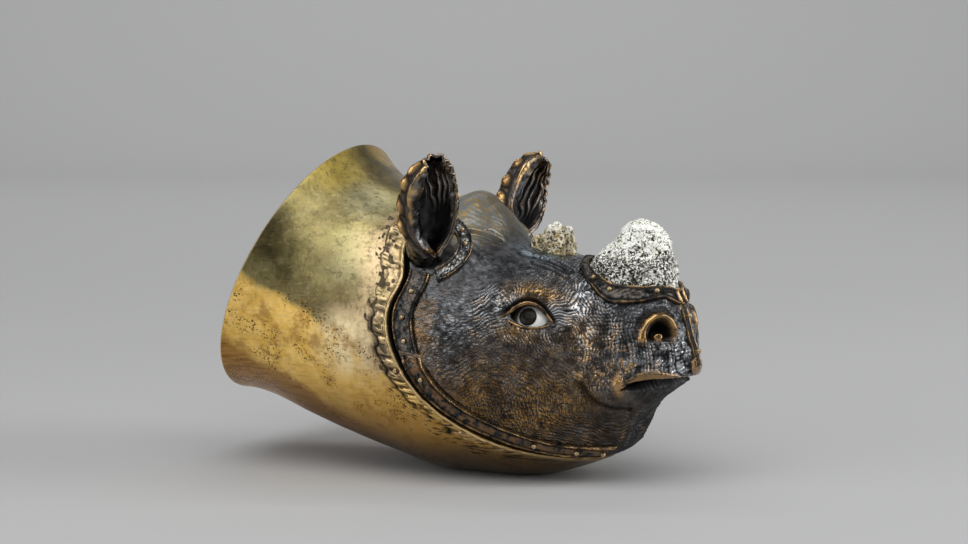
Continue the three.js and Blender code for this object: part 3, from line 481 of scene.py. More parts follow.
def resample(path, count, closed=False):
    """Evenly spaced points on a smooth line through points."""
    path = np.asarray(path, float)
    if closed:
        path = np.concatenate([path[-2:], path, path[:3]])
    t = np.arange(len(path), dtype=float)
    fine = np.linspace(1, len(path) - 2, 2000) if closed else np.linspace(0, len(path) - 1, 2000)
    padded = np.concatenate([[2 * path[0] - path[1]], path, [2 * path[-1] - path[-2]]])
    i = np.clip(fine.astype(int), 0, len(path) - 2)
    u = (fine - t[i])[:, None]
    p0, p1, p2, p3 = padded[i], padded[i + 1], padded[i + 2], padded[i + 3]
    line = 0.5 * (2 * p1 + (p2 - p0) * u + (2 * p0 - 5 * p1 + 4 * p2 - p3) * u ** 2)
    line = line + 0.5 * (3 * p1 - p0 - 3 * p2 + p3) * u ** 3
    if closed:
        keep = (fine >= 2) & (fine <= len(path) - 3)
        line = line[keep]
    length = lengths_along(line)
    at = np.linspace(0, length[-1], count, endpoint=not closed)
    return np.stack([np.interp(at, length, line[:, k]) for k in range(line.shape[1])], -1)


# Materials

class Nodes:
    """A material's node tree, built with short calls. Lengths in its textures are in millimetres."""

    def __init__(self, name, **uniform):
        self.material = bpy.data.materials.new(name)
        self.material.use_nodes = True
        self.tree = self.material.node_tree
        self.shader = self.tree.nodes["Principled BSDF"]
        self.set(**uniform)
        metres = self.node("TexCoord", {}, "Object")
        self.place = self.vector("SCALE", {0: metres, "Scale": 1 / MM})
        self.colour = None

    def feed(self, socket, value):
        if isinstance(value, bpy.types.NodeSocket):
            self.tree.links.new(value, socket)
        elif value is not None:
            socket.default_value = (*value, 1) if socket.type == "RGBA" else value

    def node(self, kind, inputs, output, **settings):
        """An output of a new node that has these settings and inputs."""
        node = self.tree.nodes.new("ShaderNode" + kind)
        for name, value in settings.items():
            setattr(node, name, value)
        for key, value in inputs.items():
            self.feed(node.inputs[key], value)
        return node.outputs[output]

    def vector(self, operation, inputs, output="Vector"):
        return self.node("VectorMath", inputs, output, operation=operation)

    def math(self, operation, a, b, clamp=False):
        return self.node("Math", {0: a, 1: b}, "Value", operation=operation, use_clamp=clamp)

    def times(self, a, b):
        return self.math("MULTIPLY", a, b, clamp=True)

    def scaled(self, a, b):
        return self.math("MULTIPLY", a, b)

    def plus(self, a, b):
        return self.math("ADD", a, b)

    def minus(self, a, b):
        return self.math("SUBTRACT", a, b)

    def most(self, *values):
        return functools.reduce(lambda a, b: self.math("MAXIMUM", a, b), values)

    def mask(self, name):
        return self.node("Attribute", {}, "Fac", attribute_name=name)

    def mix(self, share, a, b):
        return self.node("Mix", {0: share, 6: a, 7: b}, 2, data_type="RGBA")

    def coat(self, colour, *shares):
        """Lays a colour over the material's colour, by the product of shares. A share may name a mask."""
        sockets = [self.mask(share) if isinstance(share, str) else share for share in shares]
        self.colour = self.mix(functools.reduce(self.times, sockets), self.colour, colour)

    def between(self, value, low, high, to_low=0.0, to_high=1.0):
        """value taken from low to high onto to_low to to_high, smooth and kept between them."""
        inputs = dict(enumerate((value, low, high, to_low, to_high)))
        return self.node("MapRange", inputs, "Result", interpolation_type="SMOOTHSTEP")

    def in_units(self, size, stretch, shift):
        """The place in units of this size, stretched along each axis and shifted."""
        scale = [1 / (size * s) for s in stretch]
        return self.vector("MULTIPLY_ADD", {0: self.place, 1: scale, 2: [shift] * 3})

    def noise(self, size, detail=3, roughness=0.55, stretch=(1, 1, 1), shift=0.0, distortion=0.0):
        """Noise from 0 to 1 with features of this size in millimetres."""
        inputs = {"Vector": self.in_units(size, stretch, shift), "Scale": 1.0, "Detail": detail}
        return self.node("TexNoise", {**inputs, "Roughness": roughness, "Distortion": distortion}, "Fac")

    def cells(self, size, feature="F1", shift=0.0, stretch=(1, 1, 1), warp=None):
        """Distances in a pattern of cells of this size. warp bends it by a noise, by so many cells."""
        at = self.in_units(size, stretch, shift)
        if warp:
            wave = self.node("TexNoise", {"Vector": at, "Scale": 0.55}, "Color")
            off = self.vector("SUBTRACT", {0: wave, 1: (0.5, 0.5, 0.5)})
            at = self.vector("ADD", {0: at, 1: self.vector("SCALE", {0: off, "Scale": 2 * warp})})
        return self.node("TexVoronoi", {"Vector": at, "Scale": 1.0}, "Distance", feature=feature)

    def coordinates(self):
        return [self.node("SeparateXYZ", {0: self.place}, axis) for axis in "XYZ"]

    def near(self, place, far, close):
        """1 within a distance of a place, falling to 0 farther off."""
        return self.between(self.vector("DISTANCE", {0: self.place, 1: place}, "Value"), far, close)

    def bump(self, *layers):
        """Bumps laid on each other, each a height from 0 to 1 and its depth in millimetres."""
        normal = None
        for height, depth in layers:
            inputs = {"Height": height, "Strength": 1.0, "Distance": depth * MM, "Normal": normal}
            normal = self.node("Bump", inputs, "Normal")
        self.feed(self.shader.inputs["Normal"], normal)

    def set(self, **sockets):
        for name, value in sockets.items():
            self.feed(self.shader.inputs[name.replace("_", " ").title().replace("Ior", "IOR")], value)

    def finish(self, **sockets):
        self.set(base_color=self.colour, **sockets)
        return self.material


def head_bronze():
    """Dark patina over a netted hide, rubbed to bronze on the ridges, with brown and olive regions, painted
    glints on the ridge tops, and dark creases with painted shade in the mouth, nostrils, ears and low on the
    jaw.
    """
    n = Nodes("head_bronze", specular_ior_level=0.0)
    fine = n.noise(0.5, 4, 0.65)
    patchy = n.noise(4, 4, 0.6, shift=3)
    streaks = n.noise(1.1, 3, 0.6, stretch=(2.2, 1, 0.7), shift=9)
    brushed = n.noise(1.5, 3, 0.55, stretch=(1.4, 1.0, 5.5), shift=6)
    upright = n.cells(1.15, "DISTANCE_TO_EDGE", stretch=(0.85, 0.85, 2.3), warp=0.7)
    level = n.cells(1.2, "DISTANCE_TO_EDGE", stretch=(2.4, 1.8, 0.8), warp=0.7, shift=31)
    nets = {"upright": upright, "level": level}
    creases = n.most(*(n.times(n.between(net, 0.15, 0.03), n.mask(name)) for name, net in nets.items()))
    n.colour = n.mix(n.between(patchy, 0.35, 0.68), (0.034, 0.035, 0.038), (0.096, 0.097, 0.100))
    # Painted glints: a pale silvery colour on the ridge tops where highlights would fall
    n.coat((0.64, 0.665, 0.69), "cool", n.between(fine, 0.30, 0.58))
    n.coat((0.28, 0.158, 0.050), "brown", n.between(streaks, 0.28, 0.62))
    n.coat(n.mix(n.between(brushed, 0.46, 0.70), (0.215, 0.213, 0.188), (0.36, 0.240, 0.080)), "olive")
    n.coat((0.34, 0.46, 0.54), "blue", n.between(fine, 0.20, 0.5))
    n.coat((0.58, 0.355, 0.140), "rub", n.between(fine, 0.22, 0.5))
    n.coat((0.78, 0.52, 0.22), "gold")
    n.coat((0.014, 0.015, 0.018), creases, 0.7)
    # Grooves are dark, and so are places of painted shade: the mouth, the nostrils, the ears' depths and
    # under the jaw
    n.coat((0.007, 0.006, 0.006), "groove")
    # Rougher and not metal in the grooves and in the painted shade
    dirt_and_shade = n.most(n.mask("groove"), n.times(creases, 0.6))
    rough = n.plus(n.between(fine, 0.2, 0.8, 0.16, 0.28), n.times(dirt_and_shade, 0.4))
    rough = n.plus(rough, n.times(n.mask("olive"), 0.16))
    n.bump((n.minus(1.0, creases), 0.20), (fine, 0.05), (streaks, 0.06))
    return n.finish(roughness=rough, metallic=n.between(dirt_and_shade, 0.2, 0.8, 1.0, 0.0))


# Painted shade on the upper part of the cup: where, where it ends and where it is full, and how strong
CUP_SHADES = [
    ((-64, -45, 81), 19, 8, 1.0),
    ((-51, -43, 68), 15, 5, 0.6),
    ((-49, -32, 90), 17, 5, 0.62),
    ((-42, 2, 102), 19, 11, 1.0),
    ((-47, -39, 78), 13, 4, 0.75),
]


def worn_brass():
    """Old brass, olive above and gold below, partly tarnish and partly painted reflection, with painted
    highlights, a painted highlight beside the seam, painted shade in places and towards the belly, and dark
    pits.
    """
    n = Nodes("worn_brass", specular_ior_level=0.0)
    x, y, z = n.coordinates()
    clouds = n.noise(17, 4, 0.58, shift=5)
    patches = n.noise(5, 5, 0.64, shift=2)
    wipes = n.noise(1.8, 3, 0.6, stretch=(5, 5, 0.5), shift=7)
    scratches = n.noise(0.35, 2, 0.5, stretch=(14, 14, 1.0), shift=11)
    wander = n.plus(n.scaled(clouds, 10.0), n.scaled(patches, 5.0))
    tilted = n.plus(n.plus(n.plus(z, 5.8), n.scaled(x, 0.60)), wander)
    upper = n.between(tilted, 37, 42)
    under = n.between(n.plus(n.plus(z, n.scaled(x, 0.62)), wander), 5.0, -2.0)

    # Olive upper part, partly tarnish and partly painted reflection of a dark room, with lighter and darker
    # places, some of them painted highlights and painted shade
    n.colour = n.mix(n.between(clouds, 0.40, 0.62), (0.20, 0.17, 0.070), (0.35, 0.295, 0.115))
    n.coat((0.46, 0.40, 0.19), n.between(patches, 0.42, 0.66), 0.7)
    n.coat((0.42, 0.315, 0.075), n.between(z, 92, 106), 0.7)
    # Painted highlights: lighter patches on the upper part
    n.coat((0.56, 0.42, 0.095), n.near((-51, -20, 105), 15, 4), 0.7)
    n.coat((0.32, 0.29, 0.16), n.near((-36, -38, 74), 15, 4), 0.6)
    n.coat((0.56, 0.51, 0.29), n.near((-37, -21, 93), 13, 4), 0.7)
    # Painted shade: a dark band above the gold, and dark places
    shade = n.times(n.between(tilted, 38, 42), n.between(tilted, 60, 50))
    shade = n.most(shade, *(n.times(n.near(at, far, close), share) for at, far, close, share in CUP_SHADES))
    n.coat((0.085, 0.068, 0.030), shade, n.between(clouds, 0.3, 0.6, 1.0, 0.6))
    n.coat((0.62, 0.41, 0.12), n.near((-50, 9, 108), 11, 4), 0.8)

    # Gold lower part, partly brass and partly painted reflection of the lit floor, and what lies over both
    gold = n.mix(n.between(patches, 0.36, 0.66), (0.76, 0.475, 0.105), (0.92, 0.63, 0.20))
    n.colour = n.mix(upper, gold, n.colour)
    # Painted highlight: paler beside the seam
    n.coat((0.56, 0.415, 0.245), "pale", n.between(patches, 0.2, 0.6))
    n.coat((0.085, 0.075, 0.036), n.between(n.noise(2.2, 5, 0.72, shift=17), 0.50, 0.66), upper, 0.6)
    # Painted shade: a darker spot low on the near side
    n.coat((0.20, 0.15, 0.07), n.near((-36, -43, 60), 10, 3), n.between(patches, 0.3, 0.6, 0.2, 0.6))
    scuffs = n.between(n.noise(1.5, 5, 0.70, stretch=(1.6, 1.6, 0.8), shift=19), 0.53, 0.66)
    n.coat((0.74, 0.57, 0.29), scuffs, n.between(upper, 0.0, 1.0, 0.35, 0.16))
    hairs = n.between(n.noise(0.8, 4, 0.7, stretch=(1, 1, 5), shift=23), 0.54, 0.66)
    n.coat((0.075, 0.070, 0.034), hairs, upper, 0.4)
    n.coat((0.88, 0.73, 0.43), n.near((-36, -44, 46), 15, 5), n.between(patches, 0.3, 0.6, 0.3, 0.75))
    stains = n.between(n.noise(8, 4, 0.65, shift=14), 0.50, 0.66)
    n.coat((0.36, 0.185, 0.045), stains, n.between(tilted, 46, 40), 0.7)
    n.coat((0.26, 0.18, 0.065), n.between(wipes, 0.50, 0.72), 0.3)

    # Painted shade: brown towards the belly and darkest near the floor, with rust and freckles
    n.coat(n.mix(n.between(wipes, 0.35, 0.65), (0.20, 0.085, 0.016), (0.38, 0.20, 0.050)), under, 0.92)
    n.coat((0.25, 0.126, 0.031), n.between(n.plus(z, n.scaled(clouds, 8.0)), 46, 18, 0.0, 0.78))
    n.coat((0.075, 0.048, 0.024), n.between(z, 19, 5, 0.0, 0.85))
    speckled = n.times(n.between(n.noise(12, 3, 0.6, shift=6), 0.47, 0.60), n.between(tilted, 47, 41))
    n.coat((0.20, 0.085, 0.022), n.between(n.noise(1.7, 5, 0.72, shift=29), 0.54, 0.64), speckled, 0.75)
    freckles = n.times(n.between(n.cells(0.9, shift=4), 0.43, 0.26), speckled)
    freckles = n.times(freckles, n.between(n.noise(0.9, 2, 0.6, shift=3), 0.40, 0.52))
    n.coat((0.070, 0.036, 0.014), freckles)
    # Dark pits and chased marks, and painted shade in the gap under the border's edge
    n.coat((0.012, 0.012, 0.014), "pit")
    n.coat((0.70, 0.51, 0.25), "rub")
    rough = n.plus(n.between(patches, 0.25, 0.8, 0.31, 0.45), n.times(freckles, 0.25))
    rough = n.plus(rough, n.scaled(n.minus(scratches, 0.5), 0.16))
    n.bump((n.noise(9, 3, 0.5), 0.20), (patches, 0.09), (scratches, 0.012), (freckles, -0.06))
    return n.finish(roughness=rough, metallic=n.between(n.mask("pit"), 0.3, 0.8, 1.0, 0.0))


def strap_bronze():
    """Dark hammered metal with wire-thin worn edges and painted glints."""
    n = Nodes("strap_bronze", specular_ior_level=0.0)
    fine = n.noise(0.6, 4, 0.6, shift=1)
    patchy = n.noise(2.6, 3, 0.62, shift=8)
    glints = n.noise(1.0, 4, 0.65, stretch=(0.7, 0.7, 2.2), shift=12)
    n.colour = n.mix(n.between(patchy, 0.36, 0.64), (0.012, 0.013, 0.013), (0.058, 0.058, 0.056))
    # Painted glints, as many as each strap asks for
    n.coat((0.62, 0.64, 0.64), "cool", n.between(glints, 0.46, 0.62))
    n.coat((0.20, 0.11, 0.048), "warm", n.between(patchy, 0.42, 0.60))
    n.coat((0.58, 0.36, 0.15), "rub", n.between(fine, 0.25, 0.55))
    n.coat((0.008, 0.007, 0.006), "groove")
    n.bump((patchy, 0.30), (fine, 0.10))
    metal = n.between(n.mask("groove"), 0.2, 0.8, 1.0, 0.0)
    return n.finish(roughness=n.between(fine, 0.2, 0.8, 0.13, 0.27), metallic=metal)


def rivet_metal():
    n = Nodes("rivet_metal", metallic=1.0)
    fine = n.noise(0.9, 3, 0.6)
    n.colour = n.mix(n.between(fine, 0.3, 0.7), (0.26, 0.18, 0.10), (0.56, 0.42, 0.24))
    return n.finish(roughness=n.between(fine, 0.3, 0.7, 0.40, 0.26))


def speckled_stone():
    """White stone with black and brown grains, paler towards its tip."""
    n = Nodes("speckled_stone", specular_ior_level=0.35)
    z = n.coordinates()[2]
    grains = n.noise(0.92, 2, 0.55, distortion=1.3)
    chalk = n.between(n.noise(1.6, 3, 0.6, shift=2), 0.36, 0.58)
    n.colour = n.mix(chalk, (0.86, 0.86, 0.76), (0.98, 0.98, 0.92))
    n.coat((0.40, 0.32, 0.19), n.between(n.noise(1.5, 2, 0.6, shift=4), 0.60, 0.70))
    spread = n.plus(n.noise(7, 2, 0.5, shift=6), n.between(z, 74, 88, -0.02, -0.46))
    past = n.minus(grains, n.minus(0.640, n.scaled(spread, 0.30)))
    n.coat((0.46, 0.40, 0.25), n.between(past, -0.030, 0.0))
    n.coat((0.014, 0.014, 0.012), n.between(past, -0.003, 0.005))
    n.bump((n.between(past, 0.04, -0.04), 0.22))
    return n.finish(roughness=0.6)


def knobbly_stone():
    """Tan stone with fine dark grains and pale tops."""
    n = Nodes("knobbly_stone", specular_ior_level=0.35)
    grains = n.noise(0.95, 3, 0.6, shift=3, distortion=0.8)
    n.colour = n.mix(n.between(n.noise(2.0, 3, 0.6), 0.38, 0.62), (0.38, 0.29, 0.130), (0.76, 0.70, 0.53))
    n.coat((0.050, 0.034, 0.015), n.between(grains, 0.52, 0.56))
    n.coat((0.07, 0.05, 0.025), "groove", 0.55)
    n.coat((0.86, 0.85, 0.79), "tip", n.between(grains, 0.64, 0.52))
    n.bump((grains, -0.22))
    return n.finish(roughness=0.55)


def eye_white():
    n = Nodes("eye_white", roughness=0.18)
    n.colour = n.mix(n.between(n.noise(3.2, 3, 0.6), 0.35, 0.75), (0.94, 0.93, 0.90), (0.80, 0.79, 0.75))
    # Painted shade round the edge of the ball, where it goes in under the lids
    n.coat((0.14, 0.12, 0.10), "rim")
    return n.finish()


def eye_dark():
    n = Nodes("eye_dark", roughness=0.12, specular_ior_level=0.08)
    n.colour = n.mix(n.noise(0.8, 3, 0.6), (0.010, 0.0085, 0.006), (0.028, 0.024, 0.017))
    n.coat((0.004, 0.004, 0.004), "pupil")
    n.coat((0.006, 0.005, 0.004), "rim")
    return n.finish()


# Head: a fine grid over each half of the skin, with the face worked into it

HEAD_ROWS = 430
HEAD_COLUMNS = 400
HEAD_EDGE_STEP = 0.6

# Lines of the face. Those of the eye are in distances forward and up from its middle, the others are places
LID_GROOVE = [(-11.8, -0.7), (-9.3, 0.7), (-7, 3.2), (-4.5, 4.9), (-2.3, 5.6)]
LID_GROOVE += [(0.5, 5.3), (3, 3.9), (5, 2.1), (7.2, -0.1), (8.5, -0.7)]
UPPER_LID = [(-11, -1.9), (-8.6, -0.2), (-6.5, 2), (-4.2, 3.6), (-2.1, 4.3)]
UPPER_LID += [(0.7, 3.9), (3.1, 2.5), (5.2, 0.6), (6.8, -1)]
LOWER_LID = [(-8.3, -2.1), (-5.8, -3.2), (-3, -3.9), (0.7, -3.8), (3.7, -2.9), (6.1, -1.5)]
EYE_BAG = [(-8.6, -2.8), (-7.4, -4.2), (-6, -5.2), (-4.6, -5.9), (-3.1, -6.2)]
NOSTRIL_RIM = [(62.7, 19.2, 51.0), (62.9, 18.7, 53.6), (64, 17, 56.3), (65.6, 14.8, 57.8), (67.4, 12.2, 57.8)]
NOSTRIL_RIM += [(68.8, 10.4, 56.3), (69.8, 9.5, 53.6), (69.5, 10.2, 50.8), (68.8, 11.2, 50.0)]
NOSTRIL = np.array((66.7, 13.6, 53.6))
NOSTRIL_KNOB = np.array((66.1, 15.2, 51.4))
NOSTRIL_ALONG = np.array((0.66, -0.75, 0))
EYE_OPENING_SHIFT = -1.1
MOUTH_CORNER_X = 57.3
mouth_z = smooth_through([50, 57.5, 62, 67, 71, 75], [33.6, 35.4, 36.6, 37.3, 37.3, 36.8])
JOWL_FOLD = [(44.5, 34.6), (46.3, 31.4), (49, 29), (53, 27.4), (57, 26.4)]
BROW_RIDGE = [(-3.5, 19.2, 84.6), (-0.5, 17.6, 84.2), (2.3, 15.9, 83.4), (5, 13.8, 82.2), (7.6, 11.6, 80.8)]
BRIDGE_FOLDS = [
    [(16, 11.5, 76.2), (22, 10.6, 75.3), (29, 11.4, 73.4), (34.5, 13, 71.2)],
    [(22, 14.2, 73.9), (28, 14.6, 72.2), (34, 15.8, 69.8)],
]


def ribbing(phase, period):
    """Rounded ribs with narrow grooves between them, from 0 to 1."""
    return np.abs(np.sin(np.pi * phase / period)) ** 0.75


def wrinkles(p, q):
    """Fine wrinkles of the hide, from 0 to 1, and how strong they are at places p. q places their noise."""
    x, z = p[..., 0], p[..., 2]
    a, b = EYE.flat(p)
    eye_turn = np.arctan2((b + 1) * 1.25, a + 1)
    eye_far = np.hypot((a + 1) / 1.3, b - 0.5)
    warp = 1.3 * noise(q / 5, 1) + 0.6 * noise(q / 2, 2)
    broken = 0.74 + 0.55 * noise(q / 2.4, 3)
    muzzle = step(40, 50, x) * step(31, 37, z)
    families = [
        (1.5 * hill(eye_far - 8.4, 3.0) * step(-2, 1.5, b), eye_turn * 8.8, 1.1),
        (1.3 * hill(a, 10) * hill(b + 8, 4), a - 0.06 * b * b, 1.2),
        (1.3 * hill(a + 15, 6) * hill(b - 1, 9), 0.62 * a - 0.78 * b, 1.3),
        (1.1 * hill(a - 19.5, 5.5) * hill(b - 4, 10), 0.80 * a + 0.6 * b, 1.15),
        (0.8 * hill(x - 8, 11) * hill(z - 39, 9), np.hypot(x - 23, z - 17), 1.3),
        (0.7 * hill(x - 24, 15) * hill(z - 26, 8), x + 0.22 * z, 1.2),
        (0.7 * hill(x - 30, 16) * hill(z - 38, 7), 0.5 * x + 0.86 * z, 1.25),
        (1.0 * muzzle * step(62, 50, z), x + 0.12 * z, 1.2),
        (0.7 * step(30, 22, z) * step(14, 30, x), z + 0.33 * x, 1.35),
        (0.7 * step(58, 66, z) * step(20, 38, x), x - 0.3 * z, 1.3),
    ]
    crossing = [
        (0.9 * muzzle, z - 0.1 * x, 1.35),
        (0.9 * hill(x - 20, 22) * hill(z - 30, 14), z + 0.4 * x, 1.35),
        (0.7 * hill(a + 10, 9) * hill(b - 3, 9), a + 0.9 * b, 1.4),
    ]
    height, weight = 0.0, 0.12
    for share, phase, period in families:
        height = height + share * ribbing(phase + warp, period)
        weight = weight + share
    height = height / weight
    for share, phase, period in crossing:
        height = height * (1 - 0.7 * np.minimum(share, 1) * (1 - ribbing(phase + 0.8 * warp, period)))
    worms = 0.42 + 0.58 * step(-0.25, 0.2, noise(q / 0.8, 4) + 0.4 * noise(q / 0.6, 5))
    at_mouth = hill(x - 53, 7) * hill(z - 40, 6)
    height = height * (1 - at_mouth) + at_mouth * worms
    return height * broken, within(weight + at_mouth) * (1 - 0.8 * spot(x - 4, z - 71, 11, 8))


def face_work(p, side):
    """Height over the skin and colour masks of the face, at places on the left half."""
    x, y, z = np.moveaxis(p, -1, 0)
    q = p * (1, side, 1) + 60
    a, b = EYE.flat(p)
    near_eye = step(20, 14, np.hypot(a, b)) * (y > 12)
    ribs, strength = wrinkles(p, q)
    patchy = cloudy(q / 6, 8)

    # Eye: a hollow for the ball, a groove over the lid and a bag below
    flat = np.stack([a, b], -1)
    along = (a - EYE_OPENING_SHIFT) / (EYE_LENGTH / 2)
    pinch = within(1 - along ** 2) ** 0.625
    inside = np.minimum(EYE_UPPER_RISE * pinch - b, b + (EYE_LOWER_DROP + 0.5) * pinch)
    hollow = step(-0.2, 0.6, inside) * (np.abs(along) < 1) * near_eye
    lid_line = hill(beside(flat, LID_GROOVE), 0.62) * near_eye * step(11.5, 7, np.abs(a + 1.6))
    lid_zone = step(1.6, 0.7, beside(flat, UPPER_LID)) * near_eye
    brow = spot(a + 1.5, b - 8.6, 9, 3.2) * near_eye
    height = -1.1 * lid_line - 4.6 * hollow + 0.7 * hill(beside(flat, EYE_BAG), 0.8) * near_eye
    height += 0.9 * hill(np.hypot((a + 1) / 1.8, b - 8.4), 2.4) * near_eye
    calm = 1 - most(lid_line, lid_zone, hollow)

    # Nostril: a deep hollow under a thick arched rim, with a knob at its foot
    to_rim = beside(p, NOSTRIL_RIM)
    rim = hill(to_rim, 1.65)
    hole = step(1.0, 0.7, np.hypot((p - NOSTRIL) @ NOSTRIL_ALONG / 5.9, (z - 52.2) / 6.0))
    hole = hole * step(49.6, 51.6, z) * (y > 3) * (x > 58)
    knob = step(3.5, 1.9, np.linalg.norm((p - NOSTRIL_KNOB) * (1, 1, 1.25), axis=-1))
    outside_rim = hill(to_rim - 2.5, 0.7) * (1 - hole) * step(49, 52, z) * (y > 3)
    in_hole = hole * step(0.5, 1.2, to_rim) * (1 - step(0.3, 0.7, knob))
    height += 1.3 * rim - 5.0 * hole * (1 - rim) * (1 - knob) + 0.5 * knob * (1 - rim)
    height += -0.8 * outside_rim
    calm *= 1 - most(rim, hole, knob)

    # Mouth: a dark wedge with a smooth upper lip and a worn patch at its corner
    over = z - mouth_z(x)
    open_by = 0.5 + 1.3 * step(57.5, 60.5, x) - 0.7 * step(66, 74, x)
    slit = step(open_by, open_by * 0.62, np.abs(over + 0.9))
    slit = step(MOUTH_CORNER_X - 0.8, MOUTH_CORNER_X + 0.4, x) * slit
    pad = 4.6 - 0.055 * (x - 65) ** 2
    lip = step(0.2, 0.9, over) * step(pad, 0.5 * pad, over)
    lip = step(MOUTH_CORNER_X - 0.6, MOUTH_CORNER_X + 2.4, x) * lip
    patch = spot(x - 56.0, z - 36.0, 1.5, 3.8) * (y > 8)
    height += -3.4 * slit + 0.6 * lip + 1.0 * patch
    calm *= 1 - within(0.85 * lip + slit + 0.85 * patch)

    # Folds of the jowl, the brow and the bridge of the nose, and a wire from the collar to the nose strap
    low = y > 14
    to_jowl = beside(np.stack([x, z], -1), JOWL_FOLD)
    jowl = hill(to_jowl, 0.9) * low
    height += -0.9 * jowl + 0.45 * hill(to_jowl - 2.2, 1.4) * low
    to_ridge = beside(p, BROW_RIDGE)
    height += 0.9 * hill(to_ridge, 0.9) - 0.6 * hill(to_ridge - 1.6, 0.7) * (z < 84)
    to_folds = [beside(p, fold) for fold in BRIDGE_FOLDS]
    for to_fold in to_folds:
        height += 0.6 * hill(to_fold, 0.7) - 0.6 * hill(to_fold - 1.2, 0.5)
    wire = hill(y - NOSE_STRAP_WIDTH / 2 + 0.2, 0.45) * step(58.6, 59.6, z) * (x > 60)
    height += 0.6 * wire

    # The hide's wrinkles, weak on the dome and under the straps
    by_seam = beyond_seam(p, 0, 0)
    free = within(step(5.5, 8.5, by_seam) + step(30, 24, z) * step(3.4, 5.5, by_seam))
    dome = step(76, 84, z) * step(16, 2, x)
    strength = strength * calm * (1 - 0.85 * dome) * (0.25 + 0.75 * free)
    height += 0.6 * strength * (ribs - 0.5)
    height += (0.14 * cloudy(q / 3.2, 21) + 0.06 * noise(q / 0.9, 22)) * calm * (1 - 0.6 * dome)
    height += 0.03 * (ribbing(p @ (0.35, 0.9, -0.2) + 1.2 * noise(q / 6, 23), 1.5) - 0.5) * dome

    # Where the patina is worn or has another tint, and where glints and shade are painted on
    ridge_tops = step(0.34, 0.72, ribs) * strength
    cheek = spot(x - 24, z - 27, 26, 16) * (y > 8)
    flecks = spot(x - 54, z - 43, 10, 7)
    bridge = spot(x - 44, z - 50, 7, 7) * (y > 8)
    snout = spot(x - 68, z - 48, 8, 13)
    flank = spot(x - 1, z - 53, 11, 9) * (y > 8)
    # Places where glints are painted on: behind and before the eye, on the snout and the upper face
    behind_eye = 0.55 * spot(a + 14, b - 3, 7, 9)
    before_eye = 1.2 * spot(a - 20, b - 4, 7, 10) + 1.2 * spot(x - 50, z - 61, 9, 8)
    upper_face = step(58, 70, z) * step(-16, 0, x) * (1 - dome)
    muzzle = step(42, 50, x) * step(33, 37, z)
    worn = within(0.15 + 0.45 * cheek + 1.2 * flecks + 0.7 * bridge + 0.25 * brow + 0.5 * patchy)
    rubbed = ridge_tops * worn * step(-0.4, 0.3, noise(q / 1.6, 25))
    polished = 0.6 * most(hill(to_rim, 1.0) * step(-0.5, 0.5, noise(q / 2.4, 12)), 0.5 * step(0.5, 0.9, knob))
    glint_zones = within(behind_eye + before_eye + 1.5 * snout + 0.25) * (1 - 0.4 * brow)
    hide = calm * (1 - 0.9 * dome) * (0.3 + 0.7 * free)
    masks = {
        "rub": most(rubbed, polished, 0.5 * patch, 0.08 * lip),
        "gold": most(0.35 * hill(to_ridge, 0.6) * step(-0.6, 0.3, patchy), 0.8 * wire),
        "brown": most(
            brow, 0.9 * spot(a + 4, b + 6.5, 7, 3.2) * near_eye, 1.3 * rim, knob, 0.85 * lip, 1.1 * patch,
            within(1.1 * cheek + 0.5 * patchy * cheek) * calm, 0.5 * bridge,
            0.6 * spot(x + 8, z - 52, 9, 12) * step(-0.4, 0.5, patchy)),
        # Painted glints: silvery ridge tops round the eye, on the snout, the upper face and the flank
        "cool": most(
            ridge_tops * glint_zones, 0.95 * snout * calm * step(-0.3, 0.3, noise(q / 1.1, 28)),
            0.12 * upper_face * step(-0.1, 0.6, noise(q / 1.2, 26)),
            0.3 * flank * step(-0.2, 0.5, noise(q / 1.3, 29))),
        "olive": dome,
        "blue": spot(x - 21, np.abs(y) - 6, 8, 5) * step(69, 73, z) * step(-0.6, 0.3, noise(q / 1.2, 27)),
        # Dark creases and wrinkles, and painted shade: the eye's hollow, the nostril, the mouth, under the
        # lip, the chin, low on the jaw and the upper face
        "groove": most(
            hollow, lid_line, in_hole, 0.6 * outside_rim, slit, 0.75 * jowl,
            *(0.85 * hill(to_fold - 1.2, 0.5) for to_fold in to_folds),
            0.85 * step(0.36, 0.06, ribs) * strength, 0.6 * step(35, 26, z) * step(36, 52, x),
            0.62 * step(0.2, -0.8, over) * step(56, 61, x), 0.3 * step(27, 20, z) * step(24, 38, x),
            0.32 * upper_face * step(24, 14, x)),
        "upright": (1.2 * spot(x - 28, z - 27, 24, 14) + 0.8 * muzzle + hill(a, 11) * hill(b + 9, 5)) * hide,
        "level": (0.9 * spot(x - 8, z - 46, 17, 17) + 0.6 * muzzle + 0.5 * step(28, 20, z)) * hide,
    }
    return height, {name: within(value) for name, value in masks.items()}


def head_shares():
    """Shares of the way from the lip to the seam, evenly spaced over the skin of the flank."""
    turn = math.radians(20)
    back = float(seam_x(turn))
    x = np.linspace(LIP_REACH - 0.02, back, 4000)
    line = skin_point(x, np.full_like(x, turn))
    length = lengths_along(line)
    even = np.interp(np.linspace(0, length[-1], HEAD_ROWS), length, x)
    return (LIP_REACH - even) / (LIP_REACH - back)


